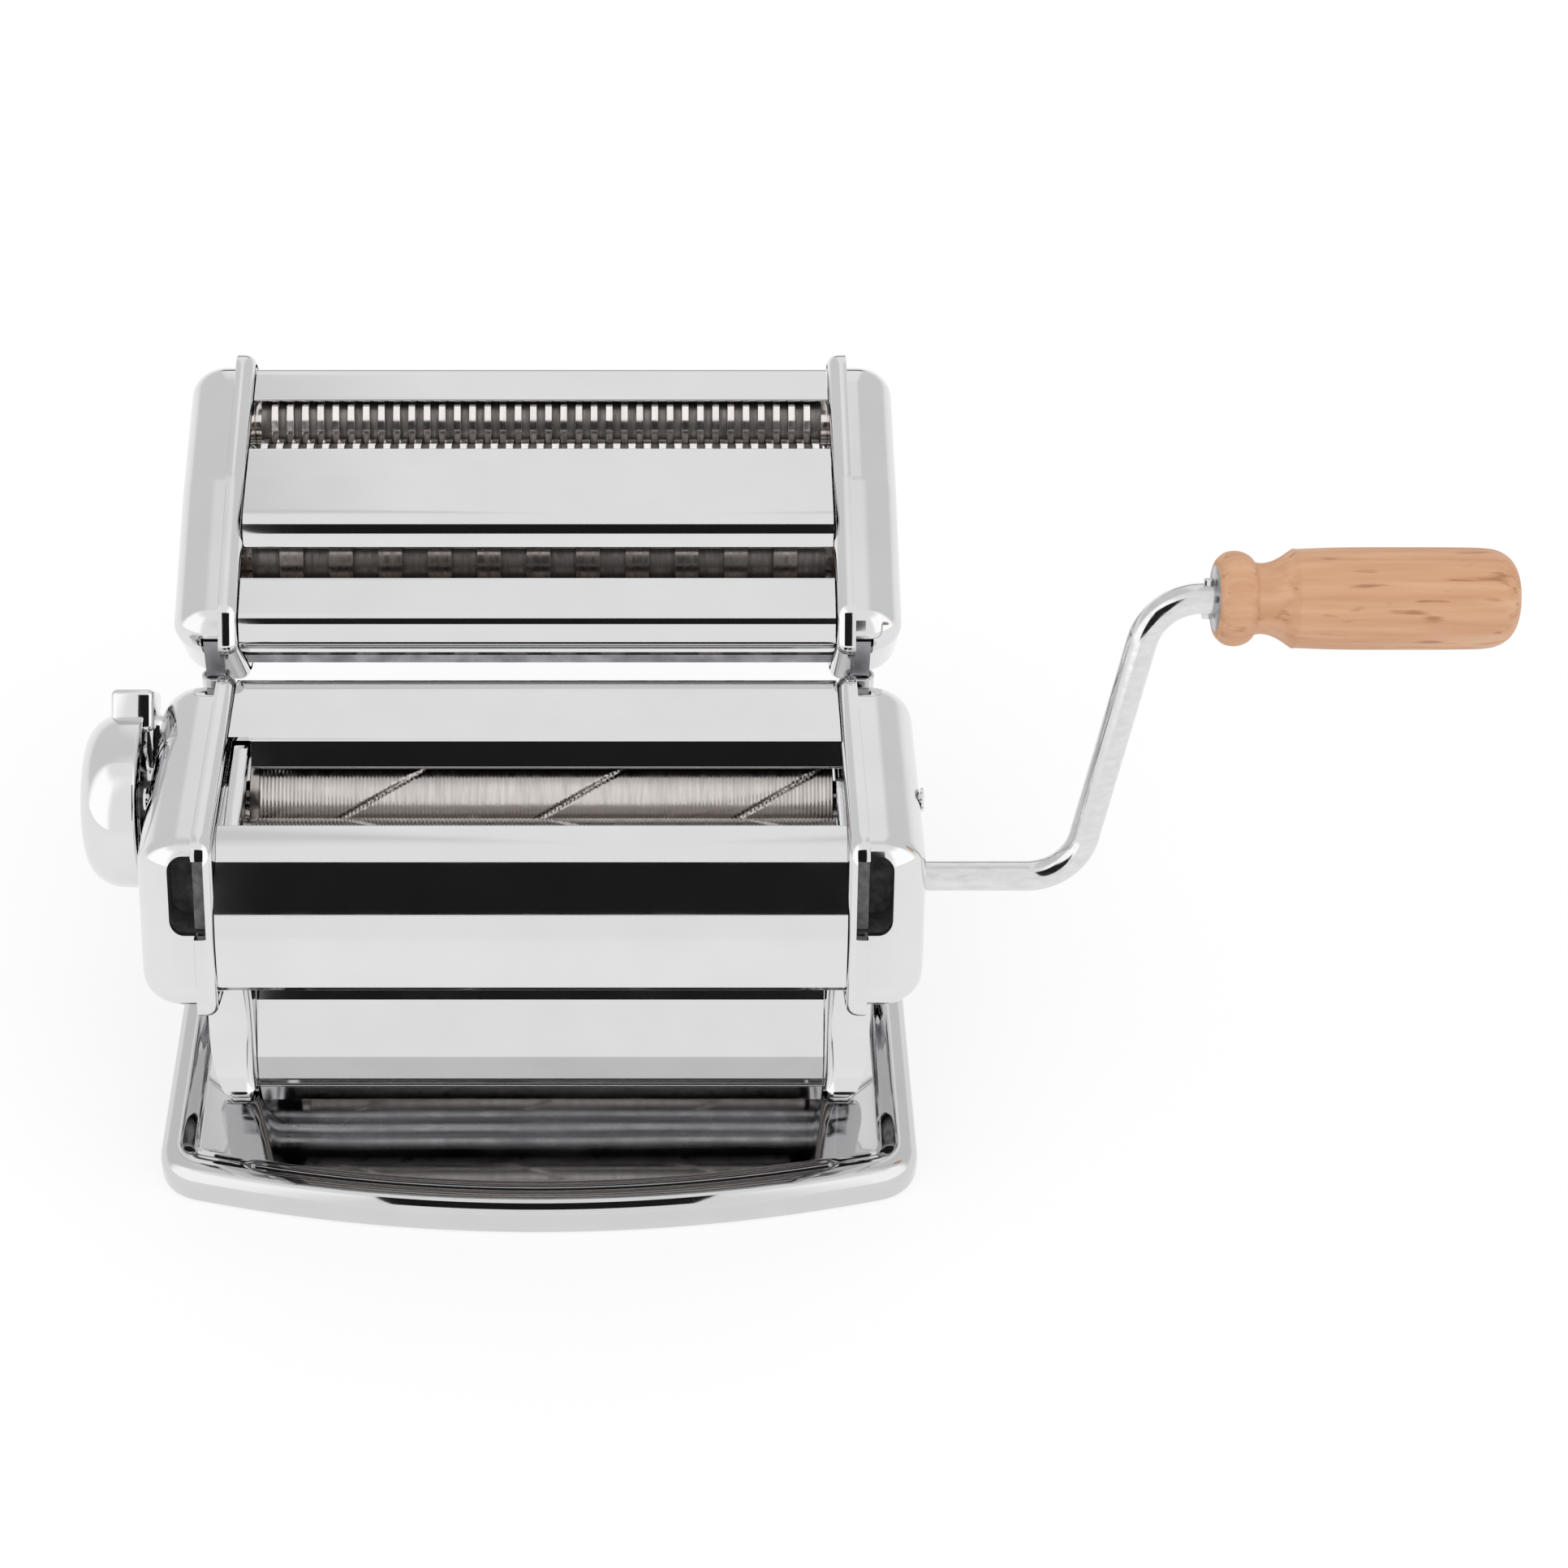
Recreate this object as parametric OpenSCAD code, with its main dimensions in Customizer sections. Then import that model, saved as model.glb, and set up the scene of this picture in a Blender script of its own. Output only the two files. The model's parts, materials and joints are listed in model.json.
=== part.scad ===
// Hand-cranked pasta machine. A folded steel base carries two legs; the legs carry a head with
// two smooth sheeting rollers, a gap knob and a lift-off cutter with a fine and a wide pair of rollers.
// +X is the crank side, +Y the back, +Z up. The origin is on the table, under the middle of the base.

/* [Base] */
// overall width of the base plate
base_w = 200; // [194:1:216]
// how far the front edge bows forward in the middle
base_bow = 10.5; // [4:0.5:14]
// radius of the plate's four corners
base_corner = 13; // [8:0.5:18]

/* [Head] */
// overall width over the two end covers
head_w = 194; // [194:1:200]
// thickness of the folded side plates and legs
plate_t = 1.5; // [1:0.1:1.5]
// thickness of the folded covers
cover_t = 1.2; // [0.8:0.1:1.2]

/* [Sheeting rollers] */
// radius of the two smooth rollers
roller_r = 14.5; // [13.5:0.1:14.5]
// gap between the rollers at the thinnest setting
roller_gap = 0.2; // [0.2:0.1:0.6]
// teeth of each roller gear
drive_teeth = 18; // [16:1:20]
// radius of the gap knob
knob_r = 22.5; // [21:0.1:24]
// how far the knob opens the gap
gap_travel = 2; // [1:0.1:2]

/* [Crank] */
// radius of the crank rod
rod_r = 3.75; // [3.4:0.05:3.75]
// distance from the roller's axis to the grip's axis
crank_len = 74.4; // [64:0.1:90]
// how far the arm leans outward over that distance
crank_lean = 15.4; // [8:0.1:20]
// length of the wooden grip
grip_len = 72; // [64:1:90]
// largest radius of the grip
grip_r = 12.3; // [11.5:0.1:14]

/* [Cutter] */
// radius of the cutting lands
land_r = 9.5; // [9.2:0.1:9.5]
// spacing of the narrow noodles' lands
fine_pitch = 4.1; // [3.5:0.1:6]
// spacing of the wide noodles' lands
wide_pitch = 13; // [8:0.5:16]
// teeth of each cutter gear
cutter_teeth = 14; // [13:1:16]

/* [Hidden] */
$fn = 96;
cap_x = head_w / 2;
web_x = 77.5;
front_axis = [-49.6, 92];
rear_axis = [front_axis.x + 2 * roller_r + roller_gap, 92];
wide_front = [25.9, 116.8];
wide_dir = 19.8;
fine_front = [66.4, 133.5];
fine_dir = 16.3;
cut_dist = 2 * land_r - 1.2;
groove_r = cut_dist - land_r - 0.1;
wide_rear = wide_front + cut_dist * [cos(wide_dir), sin(wide_dir)];
fine_rear = fine_front + cut_dist * [cos(fine_dir), sin(fine_dir)];
socket_r = rod_r + 0.1;
throw = gap_travel / 2 / cos(15);
knob_in = cap_x + 2.7;
// rods between the side plates: head, then cutter
ties = [[-66.5, 79], [-2, 76]];
low_tie = [5, 30];
cut_ties = [[54, 129.5], [84.5, 108], [56, 104]];
posts = [[-44, 73.5], [-35, 104.6]];
cut_posts = [[54, 112], [78, 114]];
bar = [0, 101];
head = [[-64.5, 114.5, 7], [8, 114.5, 9], [10, 84, 12], [-4, 64, 14], [-60, 64, 16], [-80.5, 71.5, 4]];
cutter = [[8, 118, 3], [14, 127, 6], [51, 144, 14], [92, 156.8, 6.5], [97, 149.5, 6], [98, 122, 10],
          [84, 96, 16], [28, 92, 12]];
leg = [[-43, 8.2], [17, 8.2], [12, 62], [5.5, 80], [4, 104], [-24, 105.5], [-50, 107.8], [-60, 104],
       [-67.5, 92], [-71.5, 80], [-71.5, 73], [-60, 68], [-43, 60]];

// ---- small tools: outlines in the Y-Z plane ----
function unit(v) = v / norm(v);
function flat(p) = [p[0], p[1]];
function left_of(v) = [-v.y, v.x];
// arc that rounds corner b between its neighbours a and c
function corner(a, b, c, r, n) =
  let (u = unit(a - b), v = unit(c - b), half = acos(u * v) / 2,
       m = b + unit(u + v) * r / sin(half),
       p = b + u * r / tan(half) - m, q = b + v * r / tan(half) - m,
       a1 = atan2(p.y, p.x), d = (atan2(q.y, q.x) - a1 + 540) % 360 - 180)
  [for (i = [0:n]) m + r * [cos(a1 + d * i / n), sin(a1 + d * i / n)]];
// closed outline from corners [y, z, radius]
function closed(c, n = 6) = let (k = len(c)) [for (i = [0:k - 1])
  each corner(flat(c[(i + k - 1) % k]), flat(c[i]), flat(c[(i + 1) % k]), c[i][2], n)];
// the same corners moved inward by d
function inset(c, d) = let (k = len(c)) [for (i = [0:k - 1])
  let (b = flat(c[i]), u = unit(flat(c[(i + k - 1) % k]) - b), v = unit(flat(c[(i + 1) % k]) - b),
       p = b + unit(u + v) * d / sin(acos(u * v) / 2)) [p.x, p.y, max(c[i][2] - d, 0.3)]];
// open path from [y, z, radius] points
function bent(c, n = 6) = [for (i = [0:len(c) - 1]) each
  (i == 0 || i == len(c) - 1 ? [flat(c[i])]
   : corner(flat(c[i - 1]), flat(c[i]), flat(c[i + 1]), c[i][2], n))];
function moved(p, t) = let (n = len(p) - 1) [for (i = [0:n])
  let (a = left_of(unit(p[max(i, 1)] - p[max(i, 1) - 1])),
       b = left_of(unit(p[min(i, n - 1) + 1] - p[min(i, n - 1)])), m = unit(a + b))
  p[i] + m * t / (m * b)];
// plan of the base plate, moved inward by d
function plan(d) = let (x = base_w / 2 - base_corner, r = base_corner - d, f = -75.5 + base_corner,
                        b = 84 - base_corner, n = 12)
  concat([for (i = [0:n]) [x + r * cos(-90 + 90 * i / n), f + r * sin(-90 + 90 * i / n)]],
         [for (i = [0:n]) [x + r * cos(90 * i / n), b + r * sin(90 * i / n)]],
         [for (i = [0:n]) [-x + r * cos(90 + 90 * i / n), b + r * sin(90 + 90 * i / n)]],
         [for (i = [0:n]) [-x + r * cos(180 + 90 * i / n), f + r * sin(180 + 90 * i / n)]],
         [for (i = [-9:9]) [x * i / 10, -75.5 + d - base_bow * (1 - i * i / 100)]]);
// half a tooth's angle at radius r; slack is the angle taken off for backlash
function half_tooth(n, m, r, slack) =
  let (rb = m * n / 2 * cos(20), al = acos(min(1, rb / r)))
  90 / n - slack + (tan(20) - tan(al)) * 180 / PI - 20 + al;
function gear_points(n, m, slack, turn) =
  let (rb = m * n / 2 * cos(20), ra = m * (n / 2 + 1), rf = m * (n / 2 - 1.2))
  [for (i = [0:n - 1]) let (c = 360 * i / n + turn) each concat(
    [let (h = half_tooth(n, m, rb, slack)) rf * [cos(c - h), sin(c - h)]],
    [for (k = [0:4]) let (r = rb + (ra - rb) * k / 4, h = half_tooth(n, m, r, slack))
      r * [cos(c - h), sin(c - h)]],
    [for (k = [4:-1:0]) let (r = rb + (ra - rb) * k / 4, h = half_tooth(n, m, r, slack))
      r * [cos(c + h), sin(c + h)]],
    [let (h = half_tooth(n, m, rb, slack)) rf * [cos(c + h), sin(c + h)]])];

module yz(x0, x1) translate([x0, 0, 0]) rotate([90, 0, 90]) linear_extrude(x1 - x0) children();
module rod(p, r, x0, x1) translate([x0, p.x, p.y]) rotate([0, 90, 0]) cylinder(r = r, h = x1 - x0);
module turned(p, pts) translate([0, p.x, p.y]) rotate([0, 90, 0]) rotate_extrude() polygon(pts);
module strip(c, t) { p = bent(c); q = moved(p, t); polygon(concat(p, [for (i = [len(q) - 1:-1:0]) q[i]])); }
module box(x0, x1, y0, y1, z0, z1) translate([x0, y0, z0]) cube([x1 - x0, y1 - y0, z1 - z0]);
module both() { children(); mirror([1, 0, 0]) children(); }
module gear(p, n, dist, turn, bore, x0, x1)
  translate([0, p.x, p.y]) yz(x0, x1) difference() {
    polygon(gear_points(n, dist / n, 3.6 / n, turn));
    circle(r = bore);
  }

// ---- base and legs ----
module base_plate() color([0.83, 0.84, 0.85]) difference() {
  union() {
    linear_extrude(8.2) polygon(plan(0));
    translate([0, 0, 8.2]) linear_extrude(1.4) difference() { polygon(plan(1)); polygon(plan(11)); }
    translate([0, 0, 9.6]) linear_extrude(0.9) difference() { polygon(plan(3)); polygon(plan(9)); }
  }
  translate([0, 0, 1.2]) linear_extrude(5.8) polygon(plan(1.2));
  translate([0, 0, -1]) linear_extrude(3) polygon(plan(6.2));
  box(-11, 11, 80, 86, 1.6, 7);
  foot_holes();
}
module foot_holes() both() for (y = [-31, 5]) translate([82.5, y, 3]) cylinder(r = 2.05, h = 9);
module clamp_bracket() color([0.72, 0.73, 0.74]) {
  box(-16, 16, 58, 77.7, 0.4, 1.6);
  both() box(11.5, 13, 58, 77.7, 1.6, 7);
}
module leg_web(x0, x1) yz(x0, x1) difference() {
  polygon(leg);
  translate(front_axis) circle(r = 8);
  rear_slot(5.4);
  bar_slot();
  for (p = concat(ties, [low_tie])) translate(p) circle(r = 2.1);
}
module rear_slot(r) {
  translate(rear_axis) circle(r = r);
  translate(rear_axis + [2.2, 0]) circle(r = r);
  translate(rear_axis + [0, -r]) square([2.2, 2 * r]);
}
module bar_slot() {
  translate(bar) circle(r = 2.9);
  translate(bar + [2.2, 0]) circle(r = 2.9);
  translate(bar + [0, -2.9]) square([2.2, 5.8]);
}
module right_leg() color([0.86, 0.87, 0.88]) difference() {
  union() {
    leg_web(web_x - plate_t, web_x);
    translate([0, 0, 8.2]) linear_extrude(1.6)
      polygon([[web_x, -43], [83, -43], [89, -37], [89, 17], [web_x, 17]]);
    box(web_x, 87.6, -43, -43 + plate_t, 9.8, 60.5);
    box(web_x, 84, 12 - plate_t, 12, 9.8, 60.5);
  }
  foot_holes();
}
module left_leg() mirror([1, 0, 0]) right_leg();
module foot_screws() color([0.6, 0.61, 0.62]) both() for (y = [-31, 5]) translate([82.5, y, 0]) {
  translate([0, 0, 3.5]) cylinder(r = 2, h = 6.3);
  translate([0, 0, 9.8]) cylinder(r = 3.5, h = 1.7);
  translate([0, 0, 3.8]) cylinder(r = 3.6, h = 3.2, $fn = 6);
}
module chute() color([0.84, 0.85, 0.86]) yz(-75.8, 75.8)
  strip([[-41, 9.4], [-39.5, 14, 2], [-7, 70]], -1);

// ---- head ----
module head_plate() color([0.86, 0.87, 0.88]) difference() {
  union() {
    yz(web_x, web_x + plate_t) polygon(closed(head));
    yz(web_x, web_x + 5) difference() { polygon(closed(head)); polygon(closed(inset(head, 1.5))); }
  }
  yz(web_x - 1, web_x + 3) {
    translate(front_axis) circle(r = 8);
    rear_slot(5.4);
    bar_slot();
    for (p = ties) translate(p) circle(r = 2.1);
  }
  box(80, 88, -84, -60, 92, 110.5);
}
module right_head_plate() head_plate();
module left_head_plate() mirror([1, 0, 0]) head_plate();
// hollow end cover: straight sides to x1, then drawn in by d at x2
module cap(c, x0, x1, x2, d) difference() {
  union() {
    yz(x0, x1) polygon(closed(inset(c, 1.55)));
    hull() {
      yz(x1 - 0.01, x1) polygon(closed(inset(c, 1.55)));
      yz(x2 - 0.01, x2) polygon(closed(inset(c, d)));
    }
  }
  yz(x0 - 1, x1) polygon(closed(inset(c, 2.75)));
  hull() {
    yz(x1 - 0.01, x1) polygon(closed(inset(c, 2.75)));
    yz(x2 - 1.21, x2 - 1.2) polygon(closed(inset(c, d + 1)));
  }
}
module head_cap() difference() {
  cap(head, 81.5, cap_x - 6, cap_x, 5);
  box(80, 88, -84, -60, 92, 110.5);
  for (p = posts) rod(p, 1.7, cap_x - 2, cap_x + 1);
}
module right_end_cover() color([0.88, 0.89, 0.9]) difference() {
  head_cap();
  rod(front_axis, 4.7, cap_x - 3, cap_x + 1);
}
module left_end_cover() color([0.88, 0.89, 0.9]) mirror([1, 0, 0]) difference() {
  head_cap();
  rod(rear_axis, 5.1, cap_x - 3, cap_x + 1);
  for (i = [0:5]) rod(rear_axis + 17 * [cos(-15 - 30 * i), sin(-15 - 30 * i)], 1.7, cap_x - 3, cap_x + 1);
}
module front_cover() color([0.88, 0.89, 0.9]) yz(-77.4, 77.4)
  strip([[-52.2, 110.6], [-61, 109.8, 18], [-71.2, 94, 40], [-75.2, 76]], cover_t);
module rear_cover() color([0.88, 0.89, 0.9]) difference() {
  yz(-77.4, 77.4) strip([[-26.2, 108.2], [-21.4, 113, 1.5], [6.3, 113, 6], [8.4, 84]], -cover_t);
  box(-78, -71.5, -28, -20.5, 100, 116);
}
module front_loops() color([0.7, 0.71, 0.72]) both() difference() {
  yz(80.02, 87.98) polygon([[-70.2, 92.4], [-64.2, 92.4], [-62.4, 110.2], [-63.6, 110.2]]);
  translate([0, -1, 0]) yz(81, 87) polygon([[-74, 92.1], [-64.2, 92.1], [-62.4, 110.5], [-66, 110.5]]);
}
module rear_loops() color([0.7, 0.71, 0.72]) both() difference() {
  yz(80, 88) polygon([[9.17, 97], [14.5, 97], [14.5, 108], [8.45, 108]]);
  box(81.2, 86.8, 10.4, 13.3, 96, 109);
}
module tie_rods() color([0.66, 0.67, 0.68]) both() for (p = concat(ties, [low_tie])) difference() {
  rod(p, 4, 0, web_x - plate_t);
  rod(p, 2.05, 68, 78);
}
module tie_screws() color([0.6, 0.61, 0.62]) both() {
  for (p = ties) { rod(p, 2, 69, web_x + plate_t); rod(p, 3.5, web_x + plate_t, web_x + 4); }
  rod(low_tie, 2, 69, web_x);
  rod(low_tie, 3.5, web_x, web_x + 2.5);
}
module front_bush(bore) difference() {
  union() {
    rod(front_axis, 7.95, web_x - plate_t, web_x + plate_t);
    rod(front_axis, 10, web_x + plate_t, web_x + plate_t + 1.2);
  }
  rod(front_axis, bore, web_x - 4, web_x + 8);
}
module front_bushes() color([0.75, 0.6, 0.35]) { front_bush(6.55); mirror([1, 0, 0]) front_bush(5.05); }
module left_dough_guide() color([0.84, 0.85, 0.86]) yz(-75.9, -72.5)
  polygon([[-52, 108.8], [-44, 109.5], [-24, 110.6], [-17.5, 111.3], [-17.5, 104], [-27.2, 99.6], [-35, 97.8],
    [-43, 99.6]]);
module front_scraper() color([0.8, 0.81, 0.82]) yz(-74, 74) difference() {
  union() {
    translate(ties[0]) circle(r = 5);
    strip([[-66.5, 74.2], [-61.6, 74.8, 1.5], [-60.6, 81]], 1);
  }
  translate(ties[0]) circle(r = 4);
}
module cover_posts() color([0.66, 0.67, 0.68]) both() for (p = posts) difference() {
  rod(p, 2.2, web_x + plate_t, cap_x - 1.2);
  rod(p, 1.55, cap_x - 9, cap_x);
}
module cover_screws() color([0.6, 0.61, 0.62]) both() for (p = posts) {
  rod(p, 1.5, cap_x - 8, cap_x);
  rod(p, 3, cap_x, cap_x + 0.6);
}

// ---- sheeting rollers and their gears ----
module front_roller() color([0.62, 0.6, 0.57]) difference() {
  turned(front_axis, [[0, -84], [5, -84], [5, -72], [roller_r, -72], [roller_r, 75.5], [6.5, 75.5],
                      [6.5, cap_x - 1.8], [0, cap_x - 1.8]]);
  rod(front_axis, socket_r, 81, cap_x);
  translate([0, front_axis.x, front_axis.y]) rotate([75, 0, 0]) box(75, 82, -2.35, 2.35, -3.85, 3.85);
}
module drive_gear() color([0.55, 0.56, 0.58])
  gear(front_axis, drive_teeth, 2 * roller_r + roller_gap, 0, 6.52, cap_x - 8, cap_x - 3);
module rear_roller() color([0.62, 0.6, 0.57])
  turned(rear_axis, [[0, -83.3], [5, -83.3], [5, -72], [roller_r, -72], [roller_r, 75.5], [5, 75.5],
                     [5, cap_x - 2.5], [0, cap_x - 2.5]]);
module driven_gear() color([0.55, 0.56, 0.58])
  gear(rear_axis, drive_teeth, 2 * roller_r + roller_gap, drive_teeth % 2 == 0 ? 180 / drive_teeth : 0,
       5.02, cap_x - 8, cap_x - 3);
module block_shape() {
  translate(rear_axis + [-9, -9]) square([18, 18]);
  translate([-13, 97.2]) square([13, 7.6]);
  translate(bar) circle(r = 3.9);
}
module bearing_block_right() color([0.5, 0.51, 0.52]) difference() {
  yz(79.3, 83.3) block_shape();
  rod(rear_axis, 5.05, 78, 85);
  rod(bar, 2.5, 78, 85);
}
module bearing_block_left() color([0.5, 0.51, 0.52]) difference() {
  union() { yz(-87.3, -79.3) translate(rear_axis + [-9, -9]) square([18, 18]); yz(-83.3, -79.3) block_shape(); }
  rod(rear_axis, 5.05, -83.4, -78);
  rod(bar, 2.5, -85, -78);
  translate([0, rear_axis.x - throw * cos(15), rear_axis.y]) box(-88, -84, -3.25, 3.25, -4.4, 4.4);
}
module carrier_bar() color([0.66, 0.67, 0.68]) rod(bar, 2.5, -83.3, 83.3);
module rear_scraper() color([0.8, 0.81, 0.82]) yz(-72, 72) difference() {
  union() {
    translate(bar - [3.3, 3.3]) square(6.6);
    strip([[0.5, 98], [0.5, 90.5, 2], [-5.6, 86.6]], -1);
  }
  translate(bar) circle(r = 2.5);
}

// ---- gap knob ----
module setting_shaft() color([0.66, 0.67, 0.68]) {
  rod(rear_axis + throw * [-cos(15), sin(15)], 3, -87.6, -84.2);
  rod(rear_axis, 7, -90.6, -87.6);
  rod(rear_axis, 5, -(knob_in + 10.3), -90.6);
}
module shaft_washer() color([0.7, 0.71, 0.72]) rod(rear_axis, 8.5, -(knob_in + 11.5), -(knob_in + 10.3));
module knob_spring() color([0.6, 0.61, 0.62]) for (i = [0:3]) translate([-(knob_in + 3.3 + 2 * i), rear_axis.x, rear_axis.y])
  rotate([0, 90, 0]) rotate_extrude() translate([7, 0]) circle(r = 0.5, $fn = 16);
module knob_body() color([0.88, 0.89, 0.9]) {
  difference() {
    union() {
      rod(rear_axis, knob_r, -(knob_in + 12.8), -knob_in);
      translate([-(knob_in + 4.8), rear_axis.x, rear_axis.y]) rotate([50, 0, 0])
        box(-3.7, 7.2, 16, knob_r + 5.8, -7.5, 7.5);
    }
    rod(rear_axis, 5.08, -(knob_in + 3), -(knob_in - 1));
    rod(rear_axis, 9, -(knob_in + 13), -(knob_in + 2.3));
    rod(rear_axis, 15, -knob_in, -(knob_in - 4));
  }
  rod(rear_axis + 17 * [cos(-15), sin(-15)], 1.5, -knob_in, -(cap_x + 0.2));
}
module knob_cover() color([0.9, 0.91, 0.92]) turned(rear_axis, [[0, -(knob_in + 15.6)],
  [knob_r * 0.75, -(knob_in + 15.4)], [knob_r - 1.2, -(knob_in + 14.4)], [knob_r, -(knob_in + 12.8)],
  [0, -(knob_in + 12.8)]]);

// ---- crank ----
crank_turn = 90 - atan2(crank_lean, crank_len);
bend = 14;
reach = bend * tan(crank_turn / 2);
arm_x = cap_x + 37.7;
grip_x = arm_x + crank_lean + reach + 3.1;
module on_arm() translate([0, front_axis.x, front_axis.y]) rotate([75, 0, 0]) children();
module crank_rod() color([0.85, 0.86, 0.87]) on_arm() {
  rotate([0, 90, 0]) translate([0, 0, 81]) cylinder(r = rod_r, h = arm_x - reach - 81);
  box(76, 83, -2.2, 2.2, -2.9, 2.9);
  for (p = [[arm_x - reach, 0, 0], [arm_x + reach * cos(crank_turn), reach * sin(crank_turn), crank_turn],
            [arm_x + crank_lean - reach * cos(crank_turn), crank_len - reach * sin(crank_turn), crank_turn],
            [arm_x + crank_lean + reach, crank_len, 0]])
    translate([p.x, p.y, 0]) rotate([0, 0, p.z]) rotate([0, 90, 0]) translate([0, 0, -0.5])
      cylinder(r = rod_r + 0.06, h = 1);
  translate([arm_x - reach, bend, 0]) rotate([0, 0, -90]) rotate_extrude(angle = crank_turn)
    translate([bend, 0]) circle(r = rod_r);
  translate([arm_x, 0, 0]) rotate([0, 0, crank_turn]) rotate([0, 90, 0]) translate([0, 0, reach])
    cylinder(r = rod_r, h = norm([crank_len, crank_lean]) - 2 * reach);
  translate([arm_x + crank_lean + reach, crank_len - bend, 0]) rotate([0, 0, 90])
    rotate_extrude(angle = crank_turn) translate([bend, 0]) circle(r = rod_r);
  translate([arm_x + crank_lean + reach, crank_len, 0]) rotate([0, 90, 0])
    cylinder(r = rod_r, h = grip_len - 10);
  box(grip_x - 3, grip_x - 0.4, crank_len - 5.2, crank_len + 5.2, -1, 1);
}
grip_axis = front_axis + crank_len * [cos(75), sin(75)];
module grip() color([0.78, 0.62, 0.42]) difference() {
  turned(grip_axis, [[0, grip_x], [grip_r - 3, grip_x], [grip_r - 1, grip_x + 2.5], [grip_r - 0.9, grip_x + 6],
    [grip_r - 2.2, grip_x + 8.6], [grip_r - 3.8, grip_x + 9.6], [grip_r - 3.6, grip_x + 11],
    [grip_r - 0.4, grip_x + 18], [grip_r, grip_x + 30], [grip_r, grip_x + grip_len - 12],
    [grip_r - 0.6, grip_x + grip_len - 6], [grip_r - 2.4, grip_x + grip_len - 2],
    [grip_r - 5.5, grip_x + grip_len], [0, grip_x + grip_len]]);
  rod(grip_axis, rod_r + 0.1, grip_x - 1, grip_x + grip_len - 8);
  rod(grip_axis, 8, grip_x - 1, grip_x + 1.2);
}
module grip_ferrule() color([0.6, 0.61, 0.62]) difference() {
  rod(grip_axis, 7.98, grip_x - 0.2, grip_x + 1.2);
  rod(grip_axis, rod_r + 0.07, grip_x - 1, grip_x + 2);
}

// ---- cutter ----
module cutter_plate() color([0.86, 0.87, 0.88]) difference() {
  union() {
    yz(web_x, web_x + plate_t) polygon(closed(cutter));
    yz(web_x, web_x + 5) difference() { polygon(closed(cutter)); polygon(closed(inset(cutter, 1.5))); }
  }
  yz(web_x - 1, web_x + 3) {
    for (p = [wide_front, wide_rear, fine_front, fine_rear]) translate(p) circle(r = 7.55);
    for (p = cut_ties) translate(p) circle(r = 1.6);
  }
  tongue_cut();
}
module tongue_cut() box(81, 87, 10.2, 13.4, 106, 119.8);
module cutter_right_plate() cutter_plate();
module cutter_left_plate() mirror([1, 0, 0]) cutter_plate();
module cutter_cap() difference() {
  cap(cutter, 81.5, cap_x - 7, cap_x - 2, 5);
  tongue_cut();
  for (p = cut_posts) rod(p, 1.7, cap_x - 4, cap_x);
}
module cutter_right_cover() color([0.88, 0.89, 0.9]) difference() {
  cutter_cap();
  for (p = [wide_front, fine_front]) rod(p, 5.2, cap_x - 4, cap_x);
}
module cutter_left_cover() color([0.88, 0.89, 0.9]) mirror([1, 0, 0]) cutter_cap();
module cutter_front_cover() color([0.88, 0.89, 0.9]) yz(-77.3, 77.3)
  strip([[24, 129.8], [13.5, 124.8, 4], [10.6, 117.5, 3], [16.4, 111.6]], 1);
module cutter_middle_cover() color([0.88, 0.89, 0.9]) yz(-77.3, 77.3)
  strip([[61.5, 145], [51.5, 142.8, 10], [36, 139, 7], [36.4, 131.2]], 1);
module cutter_rear_cover() color([0.88, 0.89, 0.9]) yz(-77.3, 77.3)
  strip([[79.5, 149.2], [90.2, 152, 5], [94.6, 148.2, 4], [96.2, 122, 8], [90, 111]], -1);
module cutter_tongues() color([0.7, 0.71, 0.72]) both() {
  box(81.5, 86.5, 10.8, 12.8, 99, 119.3);
  box(79, 81.5, 10.8, 12.8, 117, 119.3);
}
module cutter_tie_rods() color([0.66, 0.67, 0.68]) both() for (p = cut_ties) difference() {
  rod(p, 3, 0, web_x);
  rod(p, 1.55, 70, 78);
}
module cutter_tie_screws() color([0.6, 0.61, 0.62]) both() for (p = cut_ties) {
  rod(p, 1.5, 71, web_x + plate_t);
  rod(p, 2.8, web_x + plate_t, web_x + 3.5);
}
module cutter_bushes() color([0.75, 0.6, 0.35]) both() for (p = [wide_front, wide_rear, fine_front, fine_rear])
  difference() {
    union() { rod(p, 7.5, web_x, web_x + plate_t); rod(p, 8.5, web_x + plate_t, web_x + plate_t + 1.2); }
    rod(p, 6.05, web_x - 1, web_x + 4);
  }
module cutter_posts() color([0.66, 0.67, 0.68]) both() for (p = cut_posts) difference() {
  rod(p, 2.2, web_x + plate_t, cap_x - 3.2);
  rod(p, 1.55, cap_x - 10, cap_x);
}
module cutter_cover_screws() color([0.6, 0.61, 0.62]) both() for (p = cut_posts) {
  rod(p, 1.5, cap_x - 9, cap_x - 2);
  rod(p, 3, cap_x - 2, cap_x - 0.6);
}
function halves(pitch) = floor(150 / (pitch / 2));
function first_x(pitch) = -halves(pitch) * pitch / 4;
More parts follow.
